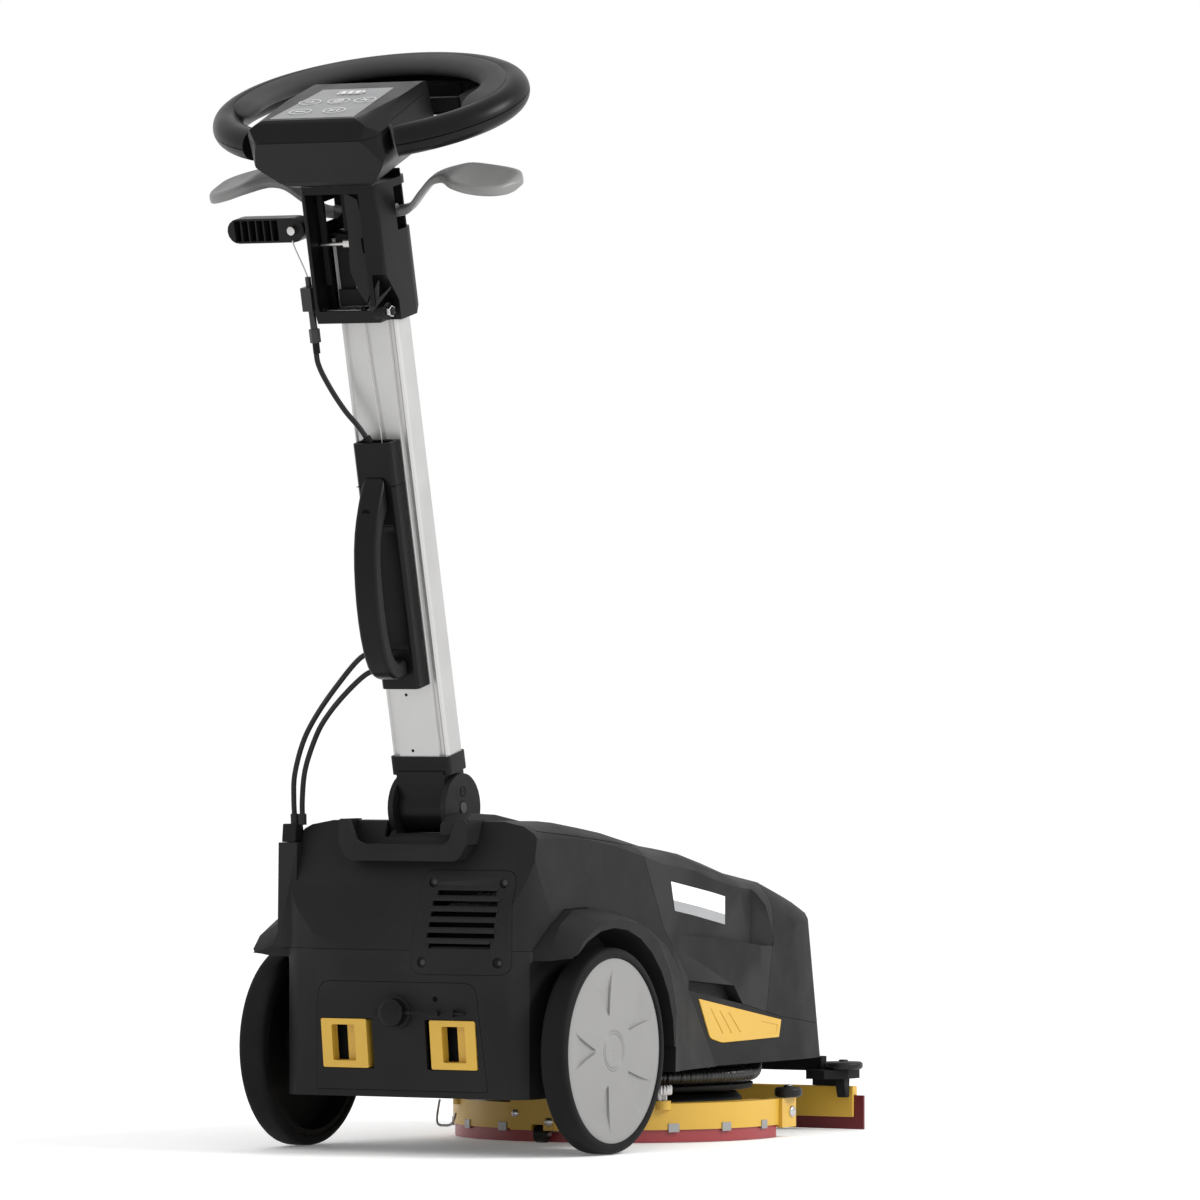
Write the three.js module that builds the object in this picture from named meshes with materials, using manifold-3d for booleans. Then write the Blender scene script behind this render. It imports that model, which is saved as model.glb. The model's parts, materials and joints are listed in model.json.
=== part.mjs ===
// Walk-behind wet dry floor scrubber for narrow rooms, as an assembly of separate pieces.
// Millimetres. X points to the operator's right, Y forward along the travel, Z up from the floor.
// Pieces are placed from the wheel axle at Y = 0; the last group moves the origin under the middle.
import * as THREE from 'three';
import { mergeVertices } from 'three/addons/utils/BufferGeometryUtils.js';
import Module from 'manifold-3d';

const wasm = await Module();
wasm.setup();

// Driving dimensions
const GAP = 0.4;
const WALL = 3.2;
const BAY_INSET = 5;
const OVERALL_FRONT = 568.8;
const OVERALL_REAR = -281.9;
const WHEEL = { radius: 104, rim: 93.6, inner: 162.5, outer: 191.5, axle: 8 };
const ARCH_RADIUS = 124;
const BODY = { side: 158, rear_side: 141, top: 345, ledge: 205.6, bottom: 57, skirt: 78 };
const HINGE = { y: -34.6, z: 348, cheek: 34, cheek_wall: 6, disc: 35 };
const MAST_LEAN = THREE.MathUtils.degToRad(13.25);
const MAST = { half_width: 33, half_depth: 16, bottom: 55.4, top: 590 };
const COLLAR = { half_width: 34.5, half_depth: 17.8, bottom: 38 };
const HOUSING = { half_width: 22, rear: -38, bottom: 132, top: 385 };
const COLUMN = { half_width: 44, rear: -44, front: 26, bottom: 508, top: 648 };
const HEAD = { y: 40, z: 712, tilt: THREE.MathUtils.degToRad(10.75) };
const RING = { half_width: 155, half_depth: 112, tube: 16 };
const PAD = { half_width: 137, half_depth: 98, lift: 9 };
const CONSOLE = { seam: 12.6, bottom: -46, rear: -128, front: 28 };
const PADDLE_SHAFT = { y: 8, z: 616, radius: 4.5 };
const LEVER = { pivot: -60, tip: -124.5, z: 604, half_height: 12.5, rear: -38, front: -22 };
const BRUSH = { y: 343, radius: 138, disc: 130 };
const SQUEEGEE = { radius: 170, leg: 392, holder_bottom: 13, holder_top: 40 };
const FRONT_BAR = { y: 561, half_width: 165, blade_half: 176 };
const DOOR = { bottom: 64, top: 173.5, bottom_half: 100, top_half: 92 };
const VENT = { left: 19, right: 127, bottom: 182, top: 286 };
const LATCH = { inner: 37, outer: 90, bottom: 86, top: 135.5, slot: 31 };

// Colours and finishes
function finish(color, roughness, metalness = 0) {
  return new THREE.MeshStandardMaterial({ color, roughness, metalness });
}
const charcoal = finish(0x2b2b2c, 0.6);
const black = finish(0x161616, 0.45);
const yellow = finish(0xe3b04b, 0.5);
const light_grey = finish(0xa3a4a4, 0.5);
const soft_grey = finish(0x4a4a4a, 0.8);
const tyre_black = finish(0x141414, 0.85);
const aluminium = finish(0xc9c9c9, 0.35, 0.9);
const steel = finish(0x9a9a9a, 0.3, 1);
const red_rubber = finish(0xa8323a, 0.7);
const dark_red = finish(0x5e1014, 0.6);
const panel_grey = finish(0x8c8c8e, 0.4);

// Solids
function solid(geometry) {
  const bare = geometry.clone();
  bare.deleteAttribute('normal');
  bare.deleteAttribute('uv');
  const merged = mergeVertices(bare, 1e-4);
  const vertices = new Float32Array(merged.attributes.position.array);
  const triangles = new Uint32Array(merged.index.array);
  const shape = new wasm.Manifold(new wasm.Mesh({
    numProp: 3, vertProperties: vertices, triVerts: triangles,
  }));
  if (shape.volume() > 0) {
    return shape;
  }
  // The outline ran the other way round, so its faces are turned to point outwards
  triangles.reverse();
  return new wasm.Manifold(new wasm.Mesh({
    numProp: 3, vertProperties: vertices, triVerts: triangles,
  }));
}

function geometryOf(shape) {
  const mesh = shape.getMesh();
  const geometry = new THREE.BufferGeometry();
  geometry.setAttribute('position', new THREE.BufferAttribute(new Float32Array(mesh.vertProperties), 3));
  geometry.setIndex(new THREE.BufferAttribute(new Uint32Array(mesh.triVerts), 1));
  geometry.computeVertexNormals();
  return geometry;
}

function box(x0, x1, y0, y1, z0, z1) {
  const geometry = new THREE.BoxGeometry(x1 - x0, y1 - y0, z1 - z0);
  return solid(geometry.translate((x0 + x1) / 2, (y0 + y1) / 2, (z0 + z1) / 2));
}

// An outline given as [a, b] or [a, b, corner radius] points
function outline(points, steps = 3) {
  const shape = [];
  points.forEach(([a, b, radius = 0], i) => {
    const here = new THREE.Vector2(a, b);
    if (radius === 0) {
      shape.push(here);
      return;
    }
    const before = points[(i + points.length - 1) % points.length];
    const after = points[(i + 1) % points.length];
    const start = new THREE.Vector2(before[0] - a, before[1] - b).setLength(radius).add(here);
    const end = new THREE.Vector2(after[0] - a, after[1] - b).setLength(radius).add(here);
    const corner = new THREE.QuadraticBezierCurve(start, here, end);
    shape.push(...corner.getPoints(steps));
  });
  return shape;
}

function extruded(points, length) {
  const geometry = new THREE.ExtrudeGeometry(new THREE.Shape(points), {
    depth: length, bevelEnabled: false, steps: 1,
  });
  return geometry;
}

// (y, z) outline drawn along X, (x, z) outline drawn along Y, (x, y) outline drawn along Z
function alongX(points, x0, x1) {
  const turn = new THREE.Matrix4().makeBasis(
    new THREE.Vector3(0, 1, 0), new THREE.Vector3(0, 0, 1), new THREE.Vector3(1, 0, 0));
  return solid(extruded(points, x1 - x0).applyMatrix4(turn).translate(x0, 0, 0));
}
function alongY(points, y0, y1) {
  return solid(extruded(points, y1 - y0).rotateX(Math.PI / 2).translate(0, y1, 0));
}
function alongZ(points, z0, z1) {
  return solid(extruded(points, z1 - z0).translate(0, 0, z0));
}

function turned(profile, segments = 40) {
  const points = profile.map(([radius, height]) => new THREE.Vector2(radius, height));
  return new THREE.LatheGeometry(points, segments).rotateX(Math.PI / 2);
}
// profile of [radius, height] turned about a line along Z or along X
function turnedZ(profile, x, y, segments) {
  return solid(turned(profile, segments).translate(x, y, 0));
}
function turnedX(profile, y, z, segments) {
  return solid(turned(profile, segments).rotateY(Math.PI / 2).translate(0, y, z));
}

function rod(from, to, radius, sides = 16) {
  const start = new THREE.Vector3(...from);
  const end = new THREE.Vector3(...to);
  const axis = end.clone().sub(start);
  const geometry = new THREE.CylinderGeometry(radius, radius, axis.length(), sides);
  const spin = new THREE.Quaternion().setFromUnitVectors(
    new THREE.Vector3(0, 1, 0), axis.clone().normalize());
  geometry.applyQuaternion(spin);
  const middle = start.add(end).multiplyScalar(0.5);
  return solid(geometry.translate(middle.x, middle.y, middle.z));
}

function circle(radius, sides, y = 0, z = 0) {
  return Array.from({ length: sides }, (_, i) => {
    const angle = (2 * Math.PI * i) / sides;
    return new THREE.Vector2(y + radius * Math.cos(angle), z + radius * Math.sin(angle));
  });
}

function arc(cx, cy, rx, ry, from, to, steps) {
  return Array.from({ length: steps + 1 }, (_, i) => {
    const angle = THREE.MathUtils.degToRad(from + ((to - from) * i) / steps);
    return [cx + rx * Math.cos(angle), cy + ry * Math.sin(angle)];
  });
}

function tube(curve, section, steps) {
  const geometry = new THREE.ExtrudeGeometry(new THREE.Shape(section), {
    steps, extrudePath: curve, bevelEnabled: false,
  });
  return solid(geometry);
}

function cable(points, radius, sides, steps) {
  const curve = new THREE.CatmullRomCurve3(points.map((p) => new THREE.Vector3(...p)));
  return tube(curve, circle(radius, sides), steps);
}

const machine = new THREE.Group();
const mast = new THREE.Group();
const head = new THREE.Group();
machine.add(mast);
mast.add(head);
mast.position.set(0, HINGE.y, HINGE.z);
mast.rotation.x = MAST_LEAN;
head.position.set(0, HEAD.y, HEAD.z);
head.rotation.x = HEAD.tilt;

function place(group, name, shape, material) {
  const mesh = new THREE.Mesh(geometryOf(shape), material);
  mesh.name = name;
  group.add(mesh);
}

// Closed solid through cross-sections [station, corners] with the same number of corners each
function lofted(sections, toPoint) {
  const count = sections[0][1].length;
  const positions = sections.flatMap(([station, corners]) => corners.flatMap((c) => toPoint(c, station)));
  const triangles = [];
  for (let s = 0; s < sections.length - 1; s += 1) {
    for (let i = 0; i < count; i += 1) {
      const a = s * count + i;
      const b = s * count + ((i + 1) % count);
      triangles.push(a, b, a + count, b, b + count, a + count);
    }
  }
  const end = (sections.length - 1) * count;
  const contour = sections[0][1].map(([a, b]) => new THREE.Vector2(a, b));
  for (const [a, b, c] of THREE.ShapeUtils.triangulateShape(contour, [])) {
    triangles.push(c, b, a, a + end, b + end, c + end);
  }
  const geometry = new THREE.BufferGeometry();
  geometry.setAttribute('position', new THREE.Float32BufferAttribute(positions, 3));
  geometry.setIndex(triangles);
  return solid(geometry);
}

// Outer form of the whole body: side view, rear view and two plans drawn through each other,
// under a crowned top whose height follows the ridge line
const BODY_SIDE = outline([
  [-97, BODY.bottom], [-113, BODY.ledge - 10], [-113, BODY.ledge], [-73, 316], [-65.5, 337, 5], [-50, BODY.top],
  [700, BODY.top], [700, BODY.bottom],
]);
const BODY_REAR_VIEW = outline([
  [-BODY.side, BODY.bottom], [BODY.side, BODY.bottom], [BODY.side, 208], [153, 240], [144, 300],
  [140, BODY.top], [-140, BODY.top], [-144, 300], [-153, 240], [-BODY.side, 208],
], 2);
const REAR_PLAN = outline([
  [60, -112], [100, -107], [128, -97, 8], [143, -84, 8], [152, -64], [BODY.side, -20], [BODY.side, 700],
  [-BODY.side, 700], [-BODY.side, -20], [-152, -64], [-143, -84, 8], [-128, -97, 8], [-100, -107],
  [-60, -112], [0, -113],
]);
const NOSE_PLAN = outline([
  [BODY.side, -300], [BODY.side, 462, 10], [150, 513, 8], [128, 540, 14], [80, 554], [0, 560], [-80, 554],
  [-128, 540, 14], [-150, 513, 8], [-BODY.side, 462, 10], [-BODY.side, -300],
]);
const NOSE_LEAN = 0.184;
const nose_form = alongZ(NOSE_PLAN, 0, 400).transform([
  1, 0, 0, 0, 0, 1, 0, 0, 0, -NOSE_LEAN, 1, 0, 0, NOSE_LEAN * BODY.skirt, 0, 1]);
const RIDGE = [[-200, 335], [-60, 335], [0, 334.5], [30, 332.5], [85, 326], [179, 309], [248, 301.5],
  [297, 291], [345, 279.5], [420, 268.5], [471, 253.5], [500, 242], [530, 225], [560, 196]];
const CROWN = [[100, 0], [124, -4.5], [138, -12], [147, -22], [160, -46], [200, -46]];
const crown = lofted(RIDGE.map(([y, height]) => {
  const right = CROWN.map(([x, drop]) => [x, height + drop]).reverse();
  const left = CROWN.map(([x, drop]) => [-x, height + drop]);
  return [y, [[-200, 0], [200, 0], ...right, ...left]];
}), ([x, z], y) => [x, y, z]);
// Scallop in both sides ahead of the seam, closed at the front by a ramp up to the nose
function scallop(side) {
  const plan = outline([[side * 170, 190], [side * 157, 190], [side * 143, 372], [side * 170, 410]]);
  const view = outline([[190, 330], [440, 330], [440, 196], [366, 200, 8], [300, 207], [190, 216]]);
  return alongZ(side > 0 ? plan : plan.reverse(), 150, 400).intersect(alongX(view, -200, 200));
}
const body = alongX(BODY_SIDE, -200, 200)
  .intersect(alongY(BODY_REAR_VIEW, -200, 700))
  .intersect(alongZ(REAR_PLAN, 0, 400))
  .intersect(nose_form)
  .intersect(crown)
  .subtract(scallop(1))
  .subtract(scallop(-1));

// Same form, smaller all round by a wall, for the hollow inside
function inner(wall) {
  const { min, max } = body.boundingBox();
  const middle = min.map((low, i) => (low + max[i]) / 2);
  const scale = min.map((low, i) => (max[i] - low - 2 * wall) / (max[i] - low));
  return body.translate(middle.map((m) => -m)).scale(scale).translate(middle);
}

// Line where the lower housing stops and the covers and tanks start
const WAIST = [
  [-200, BODY.ledge], [150, BODY.ledge], [202, 159], [327, 140], [410, 124], [700, 92],
];
const below_waist = alongX(outline([...WAIST, [700, 0], [-200, 0]]), -200, 200);
const above_waist = alongX(outline([[-200, 500], [-200, BODY.ledge + GAP], [150, BODY.ledge + GAP],
  [202.3, 159 + GAP], [327.2, 140 + GAP], [410.1, 124 + GAP], [700, 92 + GAP], [700, 500]]), -200, 200);

// Each fender runs from the body side out to a lip round the wheel
const FENDER_ROOT = [
  [110, 78], [261, 78], [202, 159], [156, 206], [118, 224], [62, 240], [12, 247], [-35, 246], [-62, 232],
  [-82, 207], [-82, 189], [-20, 160],
];
const FENDER_LIP = [
  [110, 78], [126, 78], [128, 142], [116, 180], [89, 213], [54, 231], [12, 237], [-30, 231], [-62, 216],
  [-79, 198], [-79, 186], [-20, 160],
];
function fender(side, grow) {
  const spread = ([y, z]) => [y + grow * Math.sign(y - 12), z + grow];
  const root = FENDER_ROOT.map(spread);
  const middle = FENDER_ROOT.map(([y, z], i) => spread([0.3 * y + 0.7 * FENDER_LIP[i][0],
    0.45 * z + 0.55 * FENDER_LIP[i][1]]));
  const stations = [[130 - grow, root], [163 + grow, root], [178 + grow, middle],
    [190.5 + grow, FENDER_LIP.map(spread)]];
  return lofted(stations, ([y, z], x) => [side * x, y, z]);
}
function wheelWell(side) {
  const near = BODY.rear_side;
  const round = turnedX([[0, 0], [ARCH_RADIUS, 0], [ARCH_RADIUS, 60], [0, 60]], 0, WHEEL.radius, 28);
  const low = box(0, 60, -200, 127, 0, WHEEL.radius);
  const well = round.add(low);
  return side > 0 ? well.translate(near, 0, 0) : well.translate(-near - 60, 0, 0);
}

// A panel let into the rear face: the face itself, moved by proud and by depth
function rearPanel(points, proud, depth) {
  return alongY(points, -170, -20)
    .intersect(body.translate(0, -proud, 0))
    .subtract(body.translate(0, depth, 0));
}
function rearPocket(points, depth) {
  return alongY(points, -170, -20).subtract(body.translate(0, depth, 0));
}
function rectangle(x0, x1, z0, z1, radius, grow = 0) {
  return outline([
    [x0 - grow, z0 - grow, radius], [x1 + grow, z0 - grow, radius],
    [x1 + grow, z1 + grow, radius], [x0 - grow, z1 + grow, radius]]);
}
function doorOutline(grow) {
  return outline([
    [-DOOR.bottom_half - grow, DOOR.bottom - grow, 3], [DOOR.bottom_half + grow, DOOR.bottom - grow, 3],
    [DOOR.top_half + grow, DOOR.top + grow, 14], [-DOOR.top_half - grow, DOOR.top + grow, 14]]);
}
const VENT_POINTS = rectangle(VENT.left, VENT.right, VENT.bottom, VENT.top, 13);
const VENT_HOLE = rectangle(VENT.left, VENT.right, VENT.bottom, VENT.top, 13, GAP);

function baseChassis() {
  let shell = body.intersect(below_waist);
  shell = shell.subtract(box(-200, 200, 128, 700, 0, BODY.skirt));
  for (const side of [-1, 1]) {
    shell = shell.add(fender(side, 0)).subtract(wheelWell(side));
  }
  const battery_bay = alongZ(outline([[-BODY.rear_side + BAY_INSET, -150], [BODY.rear_side - BAY_INSET, -150],
    [BODY.rear_side - BAY_INSET, 124], [-BODY.rear_side + BAY_INSET, 124]]), BODY.bottom + 4, 230);
  const deck = alongZ(outline([[-152, 132], [152, 132], [152, 470], [140, 520], [80, 545],
    [-80, 545], [-140, 520], [-152, 470]]), 0, 300);
  const hollow = battery_bay.add(deck.intersect(box(-200, 200, 0, 700, 0, 116)))
    .add(deck.intersect(box(-200, 200, 0, 700, 120, 300)));
  shell = shell.subtract(hollow.intersect(body.translate(0, 4, 0)).intersect(body.translate(0, -4, 0)));
  shell = shell.subtract(rearPocket(doorOutline(GAP), 4.4));
  shell = shell.subtract(rearPocket(VENT_HOLE, 3.4));
  shell = shell.subtract(box(-90, 90, -112, -80, DOOR.bottom + 6, DOOR.top - 8));
  shell = shell.subtract(rod([0, BRUSH.y, 100], [0, BRUSH.y, 130], 49, 32));
  shell = shell.subtract(rod([-200, 0, WHEEL.radius], [200, 0, WHEEL.radius], WHEEL.axle + GAP, 24));
  for (const side of [-1, 1]) {
    shell = shell.subtract(sideLatch(side, GAP));
  }
  return shell;
}

function upperForm() {
  let form = body.intersect(above_waist);
  for (const side of [-1, 1]) {
    form = form.subtract(fender(side, GAP).translate(0, 0, GAP)).subtract(wheelWell(side));
  }
  return form;
}

// Side-view regions of the three covers, split at the seams
const REAR_REGION = [[-200, 0], [196, 0], [176, BODY.ledge], [163, 223], [138, 310], [132, 400], [-200, 400]];
const MID_REGION = [[132.6, 400], [138.6, 310], [163.6, 223], [176.6, BODY.ledge], [196.6, 0], [362, 0],
  [378, 130], [402, 250], [414, 400]];
const NOSE_REGION = [[414.6, 400], [402.6, 250], [378.6, 130], [362.6, 0], [700, 0], [700, 400]];
const COVER_REGION = [[-58, 325.6], [160, 305.4], [160, 400], [-58, 400]];
const COVER_HOLE = [[-58.4, 325.1], [160.4, 304.9], [160.4, 400], [-58.4, 400]];
const yoke_space = box(-36, 36, -72, 14, 317, 400);

function rearShell() {
  let shell = upperForm().intersect(alongX(outline(REAR_REGION), -200, 200));
  const room = inner(WALL + 1).intersect(box(-200, 200, -200, 126, 0, 400))
    .intersect(box(-128, 128, -200, 400, 0, 400));
  shell = shell.subtract(room).subtract(alongX(outline(COVER_HOLE), -200, 200)).subtract(yoke_space);
  const tower_side = outline([[-90, BODY.ledge + GAP], [-58, BODY.ledge + GAP], [-64, 312], [-88, 312]]);
  const tower = alongX(tower_side, -152, -130);
  shell = shell.add(tower.intersect(box(-160, -100, -100, 0, 0, 400)));
  shell = shell.subtract(box(-149 - GAP, -133 + GAP, -87 - GAP, -67 + GAP, 312, 400));
  return shell.subtract(rearPocket(VENT_HOLE, 3.4)).subtract(fender(-1, GAP).translate(0, 0, GAP))
    .subtract(rearPocket(rectangle(VENT.left + 12, VENT.right - 12, 210, VENT.top - 16, 4), 20));
}

// Finger recess over each side latch, in the lower edge of the rear tank
const RECESS_DEPTH = 14;
function fingerRecess(grow) {
  const view = outline([[200 - grow, 100], [212 - grow, 168 + grow], [308 + grow, 160 + grow],
    [328 + grow, 139 + grow], [328 + grow, 100]]);
  const near = BODY.side - RECESS_DEPTH - grow;
  return alongX(view, near, 200).add(alongX(view, -200, -near));
}

function tank(region, port_y, port_z) {
  const half_tunnel = 62;
  let shell = upperForm().intersect(alongX(outline(region), -200, 200));
  const tunnel = box(-half_tunnel, half_tunnel, 120, 470, 0, 206);
  const wall_y = new THREE.Box3().setFromBufferAttribute(geometryOf(shell).attributes.position);
  const depth = wall_y.max.y - wall_y.min.y;
  const squeeze = (depth - 2 * WALL) / depth;
  const centre = (wall_y.max.y + wall_y.min.y) / 2;
  const low = wall_y.min.z;
  const lift = (wall_y.max.z - low - 2 * WALL) / (wall_y.max.z - low);
  const hollow = shell.translate(0, -centre, -low)
    .scale([(BODY.side - WALL) / BODY.side, squeeze, lift])
    .translate(0, centre, low + WALL)
    .subtract(box(-half_tunnel - WALL, half_tunnel + WALL, 120, 470 + WALL, 0, 206 + WALL))
    .subtract(fingerRecess(WALL));
  shell = shell.subtract(tunnel).subtract(fingerRecess(0))
    .subtract(hollow.intersect(shell.translate(0, 0, -WALL)));
  return shell.subtract(rod([90, port_y, port_z], [90, port_y, port_z + 60], 14, 20));
}

function ventGrille() {
  let plate = rearPanel(VENT_POINTS, 0.6, 3);
  const slots = 6;
  for (let i = 0; i < slots; i += 1) {
    const z = VENT.bottom + 26 + i * 10.6;
    const inset = i === 0 || i === slots - 1 ? 20 : 16;
    plate = plate.subtract(box(VENT.left + inset, VENT.right - inset, -150, -50, z, z + 5.4));
  }
  for (const x of [VENT.left + 13, VENT.right - 13]) {
    for (const z of [VENT.bottom + 12, VENT.top - 12]) {
      plate = plate.subtract(rod([x, -170, z], [x, -70, z], 2.2, 10));
    }
  }
  return plate;
}

function latchOutline(side, grow) {
  const inner_x = side * (LATCH.inner - grow);
  const outer_x = side * (LATCH.outer + grow);
  return rectangle(Math.min(inner_x, outer_x), Math.max(inner_x, outer_x),
    LATCH.bottom - grow, LATCH.top + grow, 2);
}
function doorLatch(side) {
  const plate = rearPanel(latchOutline(side, 0), 1.4, 10);
  const x0 = side * (LATCH.inner + 14);
  const x1 = side * (LATCH.outer - 12);
  const pocket_rear = rectangle(Math.min(x0, x1), Math.max(x0, x1), LATCH.bottom + 7, LATCH.top - 6, 2);
  const pocket = alongY(pocket_rear, -170, -20)
    .subtract(body.translate(0, 8, 0));
  return plate.subtract(pocket);
}
function batteryDoor() {
  let door = rearPanel(doorOutline(0), 0.3, 4);
  for (const side of [-1, 1]) {
    const a = side * LATCH.slot;
    const b = side * (LATCH.outer + GAP);
    const latch_hole = rectangle(Math.min(a, b), Math.max(a, b), LATCH.bottom - GAP, LATCH.top + GAP, 1);
    door = door.subtract(alongY(latch_hole, -170, -20));
  }
  const socket = rod([0, -112, 143], [0, -97, 143], 17, 24);
  return door.add(socket).subtract(rod([0, -120, 143], [0, -104, 143], 11, 20));
}
function chargeCap() {
  const knob = rod([0, -122, 143], [0, -112.4, 143], 14, 28).add(rod([0, -113, 143], [0, -107, 143], 8.6, 20));
  const tab = box(-22, 0, -121, -118, 139, 147);
  const strap = box(0, 52, -118.5, -116.5, 141.5, 144.5);
  const foot = rod([50, -118.5, 143], [50, -111, 143], 3, 12);
  return knob.add(tab).add(strap).add(foot);
}

function sideLatch(side, grow) {
  const points = outline([
    [232 - grow, 148.5 + grow], [409 + grow, 121.2 + grow], [404 + grow, 103 - grow],
    [281 - grow, 101.5 - grow, 5], [256 - grow, 107 - grow, 5],
  ]);
  const thickness = grow > 0 ? 60 : 6;
  const start = grow > 0 ? 152.6 : 153;
  const plate = side > 0 ? alongX(points, start, start + thickness)
    : alongX(points, -start - thickness, -start);
  return plate;
}

function grabRail() {
  const lip = alongY(outline([
    [-75, 337, 4], [-75, 312], [-66, 297, 4], [-58, 295], [58, 295], [66, 297, 4], [75, 312], [75, 337, 4],
    [63, 337], [54, 315, 3], [46, 312], [-46, 312], [-54, 315, 3], [-63, 337]]), -98, -93);
  const floor = alongY(outline([[-74, 314], [-66, 297.2], [-58, 295], [58, 295], [66, 297.2], [74, 314],
    [68, 314], [60, 301], [-60, 301], [-68, 314]]), -94, -62);
  const cheeks = box(-75, -70, -94, -60, 312, 337).add(box(70, 75, -94, -60, 312, 337));
  return lip.add(floor).add(cheeks).subtract(body.translate(0, -GAP, 0)).subtract(body.translate(0, 0, GAP));
}

// Wheels and the drive inside
function tyre() {
  const edge = 4;
  const { radius, rim, inner: a, outer: b } = WHEEL;
  return turnedX([[rim, a], [radius - edge, a], [radius - 1, a + edge * 0.7], [radius, a + edge * 1.6],
    [radius, b - edge * 1.6], [radius - 1, b - edge * 0.7], [radius - edge, b], [rim, b], [rim, a]], 0, 0, 40);
}
function hub() {
  const { rim, inner: a, outer: b, axle } = WHEEL;
  const bore = axle + GAP;
  const radius = rim - GAP;
  return turnedX([[0, b - 4], [20, b - 3], [22, b - 2], [radius, b - 1.2], [radius, a + 1],
    [radius - 4, a + 1], [radius - 6, b - 8], [24, b - 8], [22, a + 3], [bore, a + 3], [bore, b - 8], [0, b - 8]],
  0, 0, 32);
}
for (const [word, side] of [['left', -1], ['right', 1]]) {
  for (const [name, make, material] of [['tyre', tyre, tyre_black], ['wheel_hub', hub, light_grey]]) {
    const mesh = new THREE.Mesh(geometryOf(make()), material);
    mesh.name = `${name}_${word}`;
    mesh.position.set(0, 0, WHEEL.radius);
    mesh.rotation.z = side > 0 ? 0 : Math.PI;
    machine.add(mesh);
  }
}

function brushMotor() {
  return turnedZ([[0, 61], [60, 61], [60, 70], [46, 78], [46, 176], [40, 186], [0, 186]], 0, BRUSH.y, 32);
}
function deckPlate() {
  let plate = turnedZ([[14, 50], [140, 50], [142, 52], [142, 55.6], [66, 55.6], [66, 60.6], [14, 60.6], [14, 50]],
    0, BRUSH.y, 32);
  for (const angle of [45, 135, 225, 315]) {
    const x = 92 * Math.cos(THREE.MathUtils.degToRad(angle));
    const y = BRUSH.y + 92 * Math.sin(THREE.MathUtils.degToRad(angle));
    plate = plate.add(rod([x, y, 53], [x, y, 115.6], 7, 8));
  }
  return plate;
}
function brushDisc() {
  return turnedZ([[0, 36], [BRUSH.disc, 36], [BRUSH.disc, 40], [124, 46], [40, 47.5], [13.4, 47.5], [13.4, 60.6], [0, 60.6]],
    0, BRUSH.y, 32);
}
function brushBristles() {
  const inner_radius = 62;
  return turnedZ([[inner_radius, 0], [BRUSH.radius, 0], [BRUSH.disc - 3, 35.6], [inner_radius + 6, 35.6],
    [inner_radius, 0]], 0, BRUSH.y, 36);
}

// The rear squeegee runs round the back of the brush, with straight legs forward
function squeegeeBand(inner_radius, outer_radius, z0, z1, leg = SQUEEGEE.leg) {
  const back = arc(0, BRUSH.y, outer_radius, outer_radius, 0, -180, 20);
  const front = arc(0, BRUSH.y, inner_radius, inner_radius, -180, 0, 20);
  return alongZ(outline([[outer_radius, leg], ...back, [-outer_radius, leg], [-inner_radius, leg], ...front,
    [inner_radius, leg]]), z0, z1);
}
const HOSE_START = [-6, 190, 62];
const ROLLER = { y: 160, radius: 9, x0: 8, x1: 20 };
function squeegeeHolder() {
  const { radius, holder_bottom: low, holder_top: high, leg } = SQUEEGEE;
  let holder = squeegeeBand(radius - 6, radius + 3, low, high).add(squeegeeBand(148, radius, high - 4, high, BRUSH.y + 20));
  for (const side of [-1, 1]) {
    const near = side * (radius - 12);
    const far = side * (radius + 7);
    const block = box(Math.min(near, far), Math.max(near, far), leg - 14, leg + 16, low - 3, high + 0.4);
    holder = holder.add(block).add(rod([side * 120, 224, 34], [side * 120, 224, 43], 9, 16));
  }
  const bracket = box(-18, 34, 150, 176, low, 46);
  const port = rod([-24, 190, 36], [-24, 190, 66], 10, 20).add(rod([-24, 190, 62], HOSE_START, 8.6, 20));
  holder = holder.add(bracket).add(port).subtract(squeegeeBand(radius - 2.6, radius + 1.2, 0, 26));
  holder = holder.subtract(box(ROLLER.x0 - 1, ROLLER.x1 + 1, 140, ROLLER.y + 10, 0, ROLLER.radius * 2 + 1));
  return holder;
}
function squeegeeBlade() {
  return squeegeeBand(SQUEEGEE.radius - 2.2, SQUEEGEE.radius + 0.8, 0, 25.6, SQUEEGEE.leg - 16);
}
function supportRoller() {
  return rod([ROLLER.x0, ROLLER.y, ROLLER.radius], [ROLLER.x1, ROLLER.y, ROLLER.radius], ROLLER.radius, 24);
}
function bumper(x, y, z, radius, thickness) {
  const half = thickness / 2;
  return turnedZ([[0, z - half], [radius - 2, z - half], [radius, z - half + 2], [radius, z + half - 2],
    [radius - 2, z + half], [5, z + half], [5, z + half + 2], [0, z + half + 2]], x, y, 20);
}
function thumbKnob(side) {
  return turnedZ([[0, 43.4], [5, 43.4], [5, 49], [10.4, 49], [10.4, 58], [9, 60], [0, 60]], side * 120, 224, 16);
}
const HOSE_ROUTE = [
  [-4.8, 190, 62], [12, 190.4, 62.4], [48, 201, 65], [90, 229, 66], [122, 270, 66], [137, 320, 66],
  [139, 360, 66], [130, 400, 68], [117, 425, 80], [112, 433, 98], [112, 434, 114.6],
];

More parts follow.
